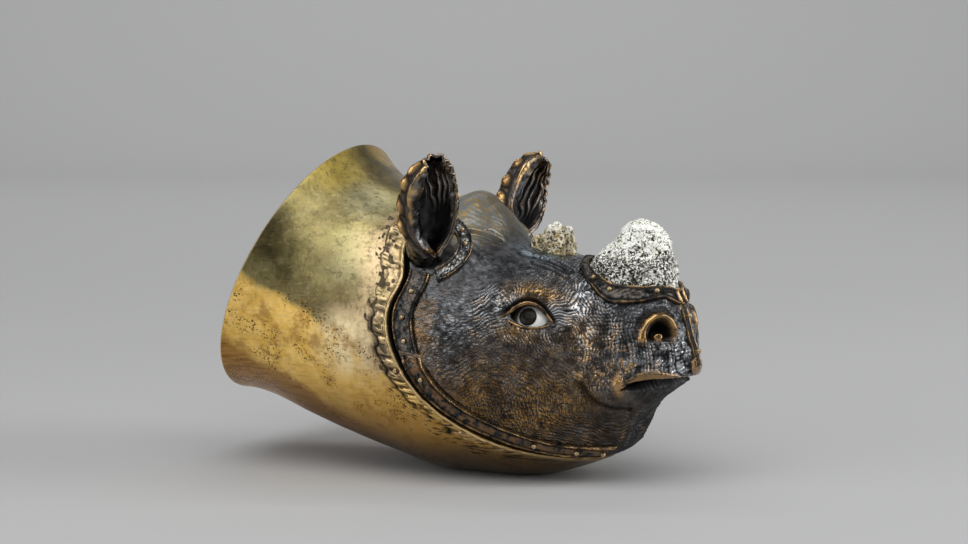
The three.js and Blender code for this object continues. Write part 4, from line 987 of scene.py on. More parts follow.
def make_head(material):
    turn = np.radians(np.linspace(-90, 90, HEAD_COLUMNS))
    seam = seam_x(turn)
    shares = head_shares()[:, None]
    x = LIP_REACH + (seam[None, :] - LIP_REACH) * shares
    skin = skin_point(x, np.broadcast_to(turn, x.shape))
    out = halved(grid_normals(skin))
    inside = CUP_WALL + FIT_GAP
    rear_rows = [(seam, HEAD_EDGE_STEP), (seam, inside), (seam_x(turn, TONGUE_REACH), inside)]
    rear = np.array([body_point(row, turn, inset) for row, inset in rear_rows])
    edge_fade = step(1.0, 0.985, shares)
    half = HEAD_COLUMNS // 2
    parts = {"lower": slice(0, half + 1), "upper": slice(half, HEAD_COLUMNS)}
    for name, side in SIDES.items():
        height, masks = face_work(skin, side)
        points = np.concatenate([skin + out * (height * edge_fade)[..., None], rear])
        for mask, values in masks.items():
            masks[mask] = np.concatenate([values, values[-1:], 0 * values[-2:]])
        # The rows inside the cup are black: painted shade
        masks["groove"][-2:] = 1
        normals = halved(grid_normals(points))
        for part, columns in parts.items():
            shown = {mask: values[:, columns] for mask, values in masks.items()}
            sheet = Sheet().add(points[:, columns], side, normals=normals[:, columns], **shown)
            sheet.build(f"head_{part}_{name}", material, "dark_bronze", ["head_casting"])


# Eyes: rings and steps of each grid, and the ball's radius, span and how far it sinks below the skin

EYEBALL_GRID = (34, 72)
EYEBALL_RADIUS = 8.6
EYEBALL_SPAN = 1.05
EYEBALL_SINK = 0.9
IRIS_GRID = (22, 56)
LID_GRID = (60, 14)


def make_eye(name, side, white, dark, lid_metal):
    """Eyeball, iris and lids of one side."""
    centre = EYE.at - EYE.out * EYEBALL_SINK - EYE.out * EYEBALL_RADIUS
    rings, steps = EYEBALL_GRID
    far = np.linspace(0, EYEBALL_SPAN, rings)[:, None, None]
    angle = full_turn(steps)[None, :, None]
    around = EYE.forward * np.cos(angle) + EYE.up * np.sin(angle)
    points = centre + EYEBALL_RADIUS * (np.sin(far) * around + np.cos(far) * EYE.out)
    # The ball's edge gets painted shade
    ball = Sheet().add(points, side, hoop=True, flip=True, rim=step(0.52, 0.70, far[..., 0]))
    ball.build(f"eyeball_{name}", white, "eye_white", [f"eyeball_{name}"])

    look = unit(EYE.out * 1.0 - EYE.forward * 0.22 + EYE.up * 0.03)
    across = unit(np.cross(look, EYE.up))
    above = np.cross(across, look)
    rings, steps = IRIS_GRID
    r = np.linspace(0, 1, rings)[:, None, None]
    angle = full_turn(steps)[None, :, None]
    high = EYEBALL_RADIUS - 0.45 + 0.75 * np.sqrt(within(1 - (r * 0.98) ** 2))
    radius = IRIS_DIAMETER / 2 * 0.97
    points = centre + look * high + radius * r * (across * np.cos(angle) + above * np.sin(angle))
    masks = {"pupil": step(0.46, 0.38, r[..., 0]), "rim": step(0.8, 0.95, r[..., 0])}
    iris = Sheet().add(points, side, hoop=True, flip=True, **masks)
    iris.build(f"iris_{name}", dark, "eye_dark", [f"iris_{name}"])

    lids = Sheet()
    count, sides = LID_GRID
    swell = within(np.sin(np.pi * np.linspace(0, 1, count))) ** 0.45
    for line, thick, lift in ((UPPER_LID, 0.78, 0.0), (LOWER_LID, 0.6, -0.15)):
        places = EYE.places(resample(line, count))
        path = skin_point(*places, lift)
        wide = 0.16 + (thick - 0.1) * swell + 0.06 * noise(path / 1.2, 31)
        patchy = within(0.35 + 0.9 * noise(path / 2.2, 32))
        rub = within(np.sin(full_turn(sides)) * 0.6 + 0.1) * patchy[:, None]
        bead = tube(path, body_normal(*places), wide, wide * 1.15, sides)
        lids.add(bead, side, hoop=True, rub=rub, warm=0.8)
    lids.build(f"eyelids_{name}", lid_metal, "strap_bronze")


# Straps: bands on the skin with a raised bead along both edges

STRAP_BEAD = 0.26
STRAP_EDGE = -0.4
STRAP_WAVE = 0.16
STRAP_PROFILE = np.concatenate([[0, 0], 0.5 - 0.5 * np.cos(np.pi * np.linspace(0, 1, 29)), [1, 1]])


def strap_height(share, width):
    """Height of a strap's face over the skin, at a share of its width."""
    edge = np.minimum(share, 1 - share) * width
    face = STRAP_LIFT + STRAP_THICKNESS - 0.35
    return face * step(-0.1, 0.2, edge) + 0.38 * hill(edge - STRAP_BEAD, 0.2)


def make_strap(name, course, width, count, side, material, replaces, gilt, hoop=False, rise=1.0, crossed=None,
               cool=0.05, warm=0.15, fade=0.35):
    """A strap from its course, which gives places on the skin for a share along it and a share across it.

    gilt says how much of its two edges is worn to gold, rise scales its height, and crossed is how far from
    the middle plane two wires cross its front. It sinks into the skin over the length fade at its ends.
    """
    t = np.linspace(0, 1, count, endpoint=not hoop)[:, None]
    share = np.broadcast_to(STRAP_PROFILE, (count, len(STRAP_PROFILE)))
    along = np.broadcast_to(t, share.shape)
    places = course(along, share)
    base = skin_point(*places)
    length = lengths_along(base[:, len(STRAP_PROFILE) // 2])[-1]
    q = base * (1, side, 1) + 90
    height = strap_height(share, width)
    ends = np.ones_like(along)
    if not hoop:
        for at_end in (along, 1 - along):
            far = at_end * length
            ends = np.minimum(ends, step(-0.15, fade, far))
            height = height + 0.3 * hill(far - 0.4, 0.3) * step(0.1, 0.3, np.minimum(share, 1 - share))
    wires = np.zeros_like(along)
    if crossed:
        wires = hill(np.abs(base[..., 1]) - crossed, 0.5) * (base[..., 0] > base[..., 0].mean())
    height = height + STRAP_WAVE * cloudy(q / 2.4, 41) + 0.08 * noise(q / 0.8, 43)
    height = height * ends * rise + 0.6 * wires * ends
    height[:, 0] = height[:, -1] = STRAP_EDGE
    points = base + body_normal(*places) * height[..., None]
    edge = np.minimum(share, 1 - share) * width
    wanted = np.where(share < 0.5, *gilt)
    patchy = within(wanted + 0.9 * noise(q / 3.2, 44) + 0.5 * noise(q / 1.3, 45))
    rub = most(hill(edge - STRAP_BEAD, 0.26) * patchy, wires)
    dirt_and_shade = most(hill(edge - 0.85, 0.35), step(0.12, 0.0, edge))
    groove = within(0.85 * dirt_and_shade) * (1 - wires)
    sheet = Sheet().add(points, side, rows_join=hoop, flip=True, rub=rub, warm=warm, groove=groove, cool=cool)
    sheet.build(name, material, "strap_bronze", replaces)


def seam_course(first, last):
    def course(t, share):
        turn = np.radians(first + (last - first) * t)
        back = -STRAP_INSET - CHEEK_STRAP_WIDTH * share
        down = -STRAP_INSET - JAW_STRAP_WIDTH * share
        return seam_x(turn, back, down), turn
    return course


def ear_course(first, last):
    def course(t, share):
        angle = np.radians(first + (last - first) * t)
        r = EAR_STRAP_RADIUS + EAR_STRAP_WIDTH * share
        return EAR.places(np.stack([r * np.cos(angle), EAR_STRAP_RISE + r * np.sin(angle)], -1))
    return course


def collar_course(t, share):
    angle = 2 * np.pi * t
    spread = FIT_GAP + COLLAR_WIDTH * share
    x = HORN_X + (HORN_LENGTH / 2 + 0.4 * spread) * np.cos(angle)
    return top_place(x, (HORN_WIDTH / 2 + spread) * np.sin(angle))


NOSE_STRAP_ENDS = (59.6, 40.0)
NOSE_X = 71.0


def nose_course(t, share):
    z = NOSE_STRAP_ENDS[0] + (NOSE_STRAP_ENDS[1] - NOSE_STRAP_ENDS[0]) * t
    y = NOSE_STRAP_WIDTH * (0.5 - share)
    point = np.stack(np.broadcast_arrays(0 * y, y, z), -1)
    return skin_under(point, Y, Z, NOSE_X, math.radians(90))


# Rivets: smooth domes, one mesh for each row

RIVET_RADIUS = 0.34 * RIVET_HEAD_DIAMETER
RIVET_ROOT = 1.2
RIVET_RINGS = 9
RIVET_STEPS = 24


def make_rivets(name, places, lift, side, material, replaces, on_cup=False):
    """Domed heads at places on the skin, or on the plain body for the cup."""
    row = Sheet()
    rise = np.linspace(0, np.pi / 2, RIVET_RINGS)
    angle = full_turn(RIVET_STEPS)
    for x, turn in places:
        out = body_normal(x, turn)
        at = (body_point(x, turn) if on_cup else skin_point(x, turn)) + out * lift
        one = unit(np.cross(out, X + 0.3 * Y))
        other = np.cross(out, one)
        ring = one * np.cos(angle)[:, None] + other * np.sin(angle)[:, None]
        dome = [at + ring * RIVET_RADIUS * 1.02 - out * RIVET_ROOT]
        dome += [at + ring * RIVET_RADIUS * math.cos(a) + out * RIVET_HEAD_HEIGHT * math.sin(a) for a in rise]
        row.add(np.array(dome), side, hoop=True, flip=True)
    row.build(name, material, "rivet_metal", replaces)


# Ears: hollow leaves with a lumpy rolled rim

EAR_GRID = (170, 110)
EAR_RIM_GRID = (520, 20)
EAR_TEETH = 25
EAR_ROOT = 6
EAR_HEIGHTS = [0, 0.24, 0.45, 0.7, 0.88, 1]
ear_radius = smooth_through(EAR_HEIGHTS, [0.46, 0.7, 0.94, 1, 0.84, 0.46])
ear_bow = smooth_through(EAR_HEIGHTS, [0, -0.04, -0.1, -0.14, -0.15, -0.14])
ear_curl = smooth_through([0, 0.2, 0.27, 0.45, 0.7, 0.88, 1], [180, 179, 150, 106, 90, 82, 66])
ear_fold = smooth_through([0, 0.2, 0.27, 0.45, 0.62, 0.78, 1], [0, 0, 22, 36, 22, 4, 0])
EAR_OPENS = 0.21
EAR_BEADS = (0.95, 0.81, 0.61, 0.44)


class Ear:
    """The shape of one ear, seen as a left one. t goes up it, and turn goes both ways round from its back."""

    def __init__(self, side):
        lean, splay, turned = (math.radians(value) for value in (EAR_LEAN, EAR_SPLAY, EAR_TURNS[side]))
        self.axis = unit(np.array([math.sin(lean), math.sin(splay), math.cos(lean) * math.cos(splay)]))
        facing = np.array([math.cos(turned), math.sin(turned), 0])
        self.front = unit(facing - self.axis * (facing @ self.axis))
        self.across = np.cross(self.axis, self.front)
        self.length = EAR_LENGTHS[side]

    def point(self, t, turn, inset=0):
        """A point of the ear and the way out there, for a turn in degrees."""
        r = EAR_WIDTH / 2 * ear_radius(t) - inset
        along = (self.length + EAR_ROOT) * t - EAR_ROOT
        centre = EAR.at + self.axis * along[..., None] + self.front * (EAR_WIDTH * ear_bow(t))[..., None]
        turn = np.radians(turn)
        outwards = -self.front * np.cos(turn)[..., None] + self.across * np.sin(turn)[..., None]
        return centre + outwards * r[..., None], outwards


def ear_leaf(ear, side):
    """The points and masks of an ear's hollow leaf, with ribs inside it and knots on its lumpy edge."""
    rows, half = EAR_GRID
    t = np.linspace(0.02, 1, rows)[:, None]
    share = np.linspace(-1, 1, half)[None, :]
    to_lumpy = share * -side
    turn = share * (ear_curl(t) + (to_lumpy < 0) * ear_fold(t))
    tt = np.broadcast_to(t, turn.shape)
    outside, outwards = ear.point(tt, turn)
    r = EAR_WIDTH / 2 * ear_radius(tt)
    q = outside * (1, side, 1) + 120
    open_part = step(0.2, 0.34, tt)
    to_knots = [np.hypot((tt - high) / 0.062, (to_lumpy - 0.68) / 0.17) for high in EAR_BEADS]
    to_knot = np.minimum.reduce(to_knots)
    knots = hill(to_knot, 1)
    ringed = hill(to_knot - 1.15, 0.35) * open_part
    ridge = hill(to_lumpy - 0.66, 0.15) * open_part
    trough = hill(to_lumpy - 0.86, 0.07) * open_part
    bark = 0.30 * cloudy(q / 3.5, 51) + 0.22 * ribbing(turn + 14 * noise(q / 6, 52), 21) * (to_lumpy < 0.5)
    bark = bark + 0.4 * ridge + 1.6 * knots - 0.4 * trough
    outside = outside + outwards * bark[..., None]
    wall = np.minimum(EAR_WALL, 0.6 * r)
    hollow = step(0.11, 0.36, tt)
    leaf = step(0.35, 0.75, tt) * step(0.55, -0.1, to_lumpy)
    ribs = ribbing(turn + 60 * side * tt + 9 * noise(q / 4, 53), 17)
    rib_depth = (0.25 + 0.75 * leaf) * step(0.3, 0.6, tt)
    inside, _ = ear.point(tt, turn, wall + (r - wall) * (1 - hollow) + 0.8 * ribs * rib_depth * hollow)
    inside = inside + ear.axis * (0.25 * noise(q / 2, 54) * hollow)[..., None]
    points = np.concatenate([outside, inside[:, ::-1]], 1)
    edges = step(0.75, 0.98, np.abs(share)) * step(0.2, 0.3, tt)
    # Painted shade deep in the hollow and between the inner ribs
    deep = hollow * step(0.75, 0.40, tt)
    between = (1 - ribs) ** 1.5 * rib_depth
    dark_inside = within(0.32 * deep + 0.7 * between + 0.08)
    creases = 0.35 * step(0.45, 0.1, ribbing(turn, 21)) * (to_lumpy < 0.5)
    masks = {
        "groove": (most(creases, 0.8 * trough, 0.85 * ringed), dark_inside * hollow),
        "brown": (0.1 + 0.2 * edges + 0.3 * ridge + 0.8 * knots, 0.25 * leaf),
        "rub": (0.9 * step(0.25, 0.8, knots), 0.6 * step(0.7, 0.95, ribs) * leaf * step(0.72, 0.97, tt)),
        "gold": (0.3 * step(0.6, 1.0, knots) * step(0.6, 0.75, tt), 0 * tt),
        # Painted glints on the outside and on the tops of the inner ribs
        "cool": (0.14 * (1 - ridge), 0.45 * step(0.6, 0.95, ribs) * step(0.45, 0.7, tt)),
    }
    for name, (outer, inner) in masks.items():
        masks[name] = np.concatenate([outer, inner[:, ::-1]], 1)
    return points, masks


def ear_rim(ear, side):
    """The points and masks of an ear's rolled rim: up one edge, over the tip and down the other one."""
    edge_count, tip_count = 60, 9
    up = np.linspace(EAR_OPENS, 0.985, edge_count)
    fold = ear_fold(up)
    outer, out_ways = ear.point(up, ear_curl(up) + (side > 0) * fold, 0.5 * EAR_WALL)
    inner, in_ways = ear.point(up, -ear_curl(up) - (side < 0) * fold, 0.5 * EAR_WALL)
    tip_t = np.full(tip_count, 1.0)
    tip, tip_ways = ear.point(tip_t, np.linspace(0.8, -0.8, tip_count) * 70, 0.4)
    line = np.concatenate([outer, tip, inner[::-1]])
    ways = np.concatenate([out_ways, tip_ways, in_ways[::-1]])
    height = np.concatenate([up, tip_t, up[::-1]])
    is_inner = np.concatenate([np.zeros(edge_count), np.linspace(0, 1, tip_count), np.ones(edge_count)])
    count, sides = EAR_RIM_GRID
    fine = resample(np.concatenate([line, ways, height[:, None], is_inner[:, None]], 1), count, closed=True)
    path, ways, height, inner_share = fine[:, :3], unit(fine[:, 3:6]), fine[:, 6], within(fine[:, 7])
    lumpy = (1 - inner_share if side < 0 else inner_share) * step(1.0, 0.92, height)
    q = path * (1, side, 1) + 40
    lumps = 0.5 + 0.5 * noise(q / 3.4, 61)
    beads = lumpy * (hill(height - 0.80, 0.05) + hill(height - 0.965, 0.05))
    teeth = np.abs(np.sin(np.linspace(0, 1, count, endpoint=False) * np.pi * EAR_TEETH)) ** 1.3
    toothed = (1 - lumpy) * step(0.5, 0.72, height)
    deep = 0.62 + 2.0 * lumpy * step(0.2, 0.34, height) * step(1.0, 0.85, height) + 0.3 * beads
    deep = deep * (1 + 0.3 * toothed * (teeth - 0.4)) * (0.85 + 0.3 * lumps * lumpy)
    path = path + ways * (0.9 * toothed * (teeth - 0.4) - 1.1 * lumpy)[:, None]
    path = path + ear.axis * (0.7 * toothed * teeth)[:, None]
    ring = tube(path, ways, 0.62 + 0.25 * lumpy + 0.35 * beads, deep, sides)
    q = ring * (1, side, 1) + 40
    ring = ring + 0.12 * cloudy(q / 1.5, 63)[..., None] * unit(ring - path[:, None])
    outer_half = step(0.2, 0.8, np.sin(full_turn(sides)[None, :]))
    worn = step(-0.1, 0.45, noise(q / 3.0, 64))
    tipped = (toothed * teeth ** 2 + beads)[:, None]
    lumpy = lumpy[:, None]
    masks = {
        "gold": within(tipped * (0.5 + 0.5 * outer_half) * (0.3 + 0.7 * worn)),
        "brown": within(outer_half * (0.15 + 0.5 * worn) + 0.2 * (1 - lumpy)),
        "rub": within(0.5 * outer_half * worn + 0.55 * step(0.36, 0.24, height)[:, None]),
        # Painted glints on the inner half of the lumpy rim
        "cool": 0.5 * (1 - outer_half) * within(lumpy + 0.3) * step(0.0, 0.5, noise(q / 1.4, 65)),
        "groove": 0.75 * (1 - outer_half) * lumpy * step(0.3, -0.2, noise(q / 2.2, 66)),
    }
    return ring, masks


def make_ear(name, side, material):
    """A leaf with a rim that is broad and lumpy on one edge, and thin and toothed on the other."""
    ear = Ear(side)
    points, masks = ear_leaf(ear, side)
    sheet = Sheet().add(points, side, hoop=True, **masks)
    points, masks = ear_rim(ear, side)
    sheet.add(points, side, hoop=True, rows_join=True, **masks)
    sheet.build(f"ear_{name}", material, "dark_bronze", [f"ear_{name}"])


# Cup: a smooth shell, and the chased border along its front edge

CUP_GRID = (130, 420)
BORDER_GRID = (56, 1500)
BOWL_GRID = (30, 160)
CHASED_BEAT = 3.4
BELLY = -np.pi / 2


def on_floor(points):
    """The belly's flat: nothing reaches below the floor."""
    points[..., 2] = np.maximum(points[..., 2], 0)
    return points


def make_cup(material):
    rows, columns = CUP_GRID
    inner_rows, lip_rows = 70, 6
    turn = full_turn(columns, BELLY)[None, :]
    mouth = -MOUTH_SETBACK
    front = seam_x(turn, SEAM_GAP + BORDER_WIDTH + 1.2)
    edge = seam_x(turn, SEAM_GAP + 1)
    x = mouth + (front - mouth) * np.linspace(0, 1, rows)[:, None] ** 1.15
    outer = body_point(x, turn + 0 * x)
    x_inside = mouth + (edge - mouth) * np.linspace(1, 0, inner_rows)[:, None] ** 1.1
    inner = body_point(x_inside, turn + 0 * x_inside, CUP_WALL)
    bend = np.radians(np.linspace(165, 15, lip_rows))[:, None]
    middle = CUP_WALL / 2
    lip = body_point(mouth + 0 * bend + 0 * turn, turn + 0 * bend, middle - middle * np.cos(bend))
    lip[..., 0] -= middle * 0.9 * np.sin(bend)
    outer = outer + body_normal(x, turn + 0 * x) * (0.10 * cloudy((outer + 200) / 14, 71))[..., None]
    away = -beyond_seam(outer, 0, 0)
    points = on_floor(np.concatenate([inner, lip, outer]))
    rub = np.zeros(points.shape[:2])
    rub[inner_rows:inner_rows + lip_rows] = 0.8
    # Painted highlight: paler beside the seam, on the middle heights of the cup
    pale = np.zeros(points.shape[:2])
    pale[-rows:] = step(22, 9, away) * step(26, 44, outer[..., 2]) * step(92, 80, outer[..., 2])
    sheet = Sheet().add(points, hoop=True, flip=True, rub=rub, pale=pale, pit=0)
    sheet.build("cup_shell_skin", material, "brass", ["cup_shell"])


def make_border(material):
    """The raised edge beside the seam: a bead, a scalloped rear outline and chased marks, fading below."""
    rows, columns = BORDER_GRID
    turn = full_turn(columns, BELLY)
    back = np.linspace(BORDER_WIDTH + 2.2, 0.45, rows)[:, None]
    turns = np.broadcast_to(turn, (rows, columns))
    x = seam_x(turns, SEAM_GAP + back)
    base = body_point(x, turns)
    out = body_normal(x, turns)
    s = np.broadcast_to(lengths_along(base[-1]), (rows, columns))
    z = base[..., 2]
    flat = np.stack([s, back + 0 * s, 0 * s], -1)
    line = flat * (1, 0, 0)
    fade = step(6, 16, z)
    lower = step(64, 56, z)
    flank = lower * step(20, 32, z)

    # The scalloped rear outline, with a ditch behind it
    ragged = 5.9 + 0.9 * noise(line * 0.22 + 9, 81) + 0.7 * noise(line * 0.5 + 3, 82)
    ragged = ragged - 1.4 * step(34, 18, z) + 1.3 * step(58, 66, z)
    plateau = step(ragged + 0.4, ragged - 0.4, back)
    gaps = step(-0.35, 0.15, noise(line * 0.3 + 31, 84))
    ditch = hill(back - ragged - 0.5, 0.95) * most(gaps * (0.2 + 0.8 * lower), flank)

    # Chased marks: one in each beat along the seam, moved or left out by chance
    beat = s / CHASED_BEAT + 1.1 * noise(line * 0.16 + 4, 85)
    cell = np.floor(beat).astype(np.int64) + 500
    chance = lattice(cell, 0 * cell, 0 * cell, 86)
    middle = (beat - np.floor(beat) - 0.5) * CHASED_BEAT
    cut = hill(middle + 0.25 * (back - 4) * chance, 0.55) * step(1.6, 2.6, back)
    cut = cut * step(ragged + 0.6, ragged - 0.6, back) * flank * (chance > -0.3)
    notch = hill(middle, 0.75) * hill(back - 2.6 - 0.8 * chance, 0.9)
    notch = notch * lower * (1 - 0.5 * flank) * (chance > -0.2)
    dashes = hill(middle + 0.4 * chance, 0.5) * hill(back - 5.8 - 1.4 * chance, 1.1)
    dashes = dashes * (1 - lower) * (chance > -0.5)
    blots = step(0.19, 0.31, noise(flat * (0.62, 0.62, 0) + 61, 87)) * hill(back - 4.0, 2.8)
    crumbs = step(0.34, 0.46, noise(flat * (0.8, 0.8, 0) + 23, 91)) * step(3.5, 6, back)

    bead = hill(back - 1.15, 0.65)
    trough = hill(back - 1.7, 0.5) * lower
    worn = 0.14 * cloudy(flat * 0.4 + 11, 88)
    humps = 0.35 * flank * hill(back - 4.0, 1.8) * (1 - hill(middle, 0.9))
    height = BORDER_RISE * 0.85 * plateau + 0.4 * bead + plateau * (worn + humps)
    height = height - 0.6 * cut - 0.5 * notch - 0.3 * dashes - 0.3 * ditch
    height = height - 0.3 * blots * plateau - 0.3 * trough * plateau
    height = np.maximum(height, -0.35) * fade
    height[0] = -0.25
    pit = most(0.95 * cut, notch, 0.85 * dashes, ditch, 0.8 * blots, 0.45 * trough, 0.8 * crumbs)
    pit = within(pit) * step(4, 10, z)
    rub = within(bead + 0.35 * plateau * step(-0.2, 0.6, noise(flat * 0.4 + 17, 90)))
    rub = rub * (0.3 + 0.7 * fade) * (1 - pit)

    # Rows that wrap the edge of the wall and go a little way in under it
    lift = out[-1] * 0.25 * fade[-1][:, None]
    wrap = [body_point(x[-1], turn, inset) + lift for inset in (0.35, 0.8, CUP_WALL)]
    wrap.append(body_point(seam_x(turn, SEAM_GAP + 5), turn, CUP_WALL + 0.02))
    points = on_floor(np.concatenate([base + out * height[..., None], np.array(wrap)]))
    blank = np.zeros((len(wrap), columns))
    # The rows in under the edge are dark: painted shade in the gap at the seam
    pit = np.concatenate([pit, blank + np.array([0.25, 0.9, 1, 1])[:, None]])
    rub = np.concatenate([rub, blank])
    # Painted highlight on the upper part of the border
    pale = np.concatenate([step(26, 44, z), blank])
    sheet = Sheet().add(points, hoop=True, flip=True, rub=rub, pit=pit, pale=pale)
    sheet.build("cup_border", material, "brass", ["cup_shell"])


def make_bowl(material):
    x = -BOWL_SETBACK
    radius = float(half_at(x)) - CUP_WALL - 2 * FIT_GAP
    angle = np.linspace(0.001, np.pi / 2, BOWL_GRID[0])
    rim = 2 * BOWL_WALL
    outside = np.stack([radius * np.sin(angle), BOWL_DEPTH * np.cos(angle)], -1)
    thin = radius - BOWL_WALL
    inside = np.stack([thin * np.sin(angle), (BOWL_DEPTH - BOWL_WALL) * np.cos(angle)], -1)[::-1]
    edge = [(radius, -rim), (radius - 0.5 * BOWL_WALL, -rim - 0.35), (thin, -rim)]
    profile = np.concatenate([outside, edge, inside])
    tilt = math.radians(float(tilt_at(x)))
    inwards = np.array([math.cos(tilt), 0, -math.sin(tilt)])
    upright = np.array([math.sin(tilt), 0, math.cos(tilt)])
    turn = full_turn(BOWL_GRID[1])[None, :, None]
    ring = Y * np.cos(turn) + upright * np.sin(turn)
    middle = np.array([x, 0, float(spine_z(x))])
    points = middle + inwards * profile[:, None, 1:] + ring * profile[:, None, :1]
    Sheet().add(points, hoop=True, pit=0, rub=0).build("inner_bowl_skin", material, "brass", ["inner_bowl"])


# Horns: rough stone

HORN_FOOT = 60
FRONT_HORN_GRID = (190, 300)
REAR_HORN_GRID = (120, 200)
REAR_HORN_MIDDLE = 75.2


def make_front_horn(material):
    rows, columns = FRONT_HORN_GRID
    t = np.linspace(0.12, 1, rows)[:, None]
    angle = full_turn(columns)[None, :]
    heights = [0, 0.4, 0.5, 0.63, 0.75, 0.87, 0.94, 1]
    spread = smooth_through(heights, [1, 0.99, 0.94, 0.75, 0.6, 0.46, 0.34, 0.02])(t)
    leaning = smooth_through(heights, [0, 0.05, 0.15, 0.62, 1, 1, 1, 1])(t)
    z = HORN_FOOT + (HORN_TOP - HORN_FOOT) * t + 0 * angle
    x = HORN_X + HORN_LEAN * leaning + HORN_LENGTH / 2 * spread * np.cos(angle)
    points = np.stack([x, HORN_WIDTH / 2 * spread * np.sin(angle), z], -1)
    q = points + 300
    rough = 0.55 * cloudy(q / 4.5, 91) + 0.30 * noise(q / 1.4, 92) + 0.16 * noise(q / 0.7, 93)
    points = points + grid_normals(points, hoop=True) * rough[..., None] * -1
    sheet = Sheet().add(points, hoop=True, flip=True)
    sheet.build("front_horn_stone", material, "speckled_stone", ["front_horn"])


def make_rear_horn(material):
    """Three knobs grown together, as one lumpy stone."""
    rows, columns = REAR_HORN_GRID
    tilt = np.linspace(0.002, 0.80 * np.pi, rows)[:, None]
    angle = full_turn(columns)[None, :]
    way = np.stack([np.sin(tilt) * np.cos(angle), np.sin(tilt) * np.sin(angle), np.cos(tilt) + 0 * angle], -1)
    middle = np.array([REAR_HORN_X, 0, REAR_HORN_MIDDLE])
    long, wide = REAR_HORN_LENGTH, REAR_HORN_WIDTH
    knobs = [
        ((REAR_HORN_X, 0), 0.36, REAR_HORN_TOP),
        ((REAR_HORN_X + 0.23 * long, 0.06 * wide), 0.22, REAR_HORN_TOP - 0.04 * long),
        ((REAR_HORN_X - 0.31 * long, -0.045 * wide), 0.30, REAR_HORN_TOP - 0.245 * long),
    ]
    reaches = []
    for (x, y), size, top in knobs:
        radii = np.array([size * long, size * wide, 0.6 * long])
        start = (middle - (x, y, top - 0.6 * long)) / radii
        ray = way / radii
        a = (ray * ray).sum(-1)
        b = ray @ start
        c = (start * start).sum() - 1
        reaches.append((-b + np.sqrt(np.maximum(b * b - a * c, 0))) / a)
    reaches = np.sort(np.array(reaches), 0)
    valley = hill(reaches[-1] - reaches[-2], 0.9)
    points = middle + way * reaches[-1][..., None]
    q = points + 400
    big_lumps = noise(q / 2.6, 95)
    lumps = 0.75 * big_lumps + 0.35 * noise(q / 1.1, 96) + 0.12 * noise(q / 0.5, 97)
    points = points + way * (lumps - 0.5 * valley)[..., None]
    tip = step(82, 85.5, points[..., 2]) * step(-0.2, 0.4, big_lumps)
    groove = within(valley + step(-0.25, -0.7, big_lumps))
    sheet = Sheet().add(points, hoop=True, tip=tip, groove=0.8 * groove)
    sheet.build("rear_horn_stone", material, "speckled_stone", ["rear_horn"])


# The object

bronze = head_bronze()
brass = worn_brass()
straps = strap_bronze()
rivet_finish = rivet_metal()
white = eye_white()
dark = eye_dark()

# Turns or angles in degrees between which the straps run, and shares of the nose strap
CHEEK_TURNS = (37, 1)
JAW_TURNS = (-0.5, -66)
EAR_ANGLES = (75, -60)
COLLAR_ANGLES = (0, 360)
NOSE_SHARES = (0, 1)

PIN_TURNS = np.radians([36, -8, -34])
RIVET_LIFT = STRAP_LIFT + STRAP_THICKNESS


def numbered(name, count):
    return [f"{name}_{i + 1}" for i in range(count)]


def places_on(course, ends, turns):
    """Places along the middle of a course that runs from the first of ends to the second."""
    t = np.array([(turn - ends[0]) / (ends[1] - ends[0]) for turn in turns], float)
    return list(zip(*course(t, np.full_like(t, 0.5))))


ear_line = ear_course(*EAR_ANGLES)
cheek_line = seam_course(*CHEEK_TURNS)
jaw_line = seam_course(*JAW_TURNS)
# The ear straps get more painted glints than the others
side_straps = [
    ("ear", ear_line, EAR_STRAP_WIDTH, 120, (0.1, 0.1), {"cool": 0.42}),
    ("cheek", cheek_line, CHEEK_STRAP_WIDTH, 130, (0.2, 0.05), {}),
    ("jaw", jaw_line, JAW_STRAP_WIDTH, 260, (0.15, 0.3), {"warm": 0.75, "fade": 4.0}),
]
rivet_rows = {
    "cheek_rivet": places_on(cheek_line, CHEEK_TURNS, (27, 15, 5.5)),
    "jaw_rivet": places_on(jaw_line, JAW_TURNS, (-9, -40, -52, -63)),
    "ear_rivet": places_on(ear_line, EAR_ANGLES, (14, 44)),
    "collar_rivet": places_on(collar_course, COLLAR_ANGLES, (42, 97, 122)),
}
nose_rivets = places_on(nose_course, NOSE_SHARES, (0.15, 0.75))
pins = list(zip(seam_x(PIN_TURNS, SEAM_GAP + TONGUE_REACH / 2), PIN_TURNS))

make_cup(brass)
make_border(brass)
make_bowl(brass)
make_head(bronze)
make_front_horn(speckled_stone())
make_rear_horn(knobbly_stone())
make_strap("horn_collar_band", collar_course, COLLAR_WIDTH, 260, 1, straps, ["horn_collar"], (0.6, 0.1),
           hoop=True, crossed=NOSE_STRAP_WIDTH / 2)
make_strap("nose_strap_band", nose_course, NOSE_STRAP_WIDTH, 90, 1, straps, ["nose_strap"], (0.45, 0.45),
           rise=0.5)
make_rivets("nose_rivets", nose_rivets, RIVET_LIFT, 1, rivet_finish, numbered("nose_rivet", len(nose_rivets)))
for name, side in SIDES.items():
    make_eye(name, side, white, dark, straps)
    make_ear(name, side, bronze)
    for strap, course, width, count, gilt, looks in side_straps:
        replaced = [f"{strap}_strap_{name}"]
        make_strap(f"{strap}_band_{name}", course, width, count, side, straps, replaced, gilt, **looks)
    for row, places in rivet_rows.items():
        replaced = numbered(f"{row}_{name}", len(places))
        make_rivets(f"{row}s_{name}", places, RIVET_LIFT, side, rivet_finish, replaced)
    replaced = numbered(f"head_pin_{name}", len(pins))
    make_rivets(f"head_pins_{name}", pins, BORDER_RISE, side, rivet_finish, replaced, on_cup=True)


# Studio, in metres: a pale sweep of floor and backdrop, soft lights and the camera

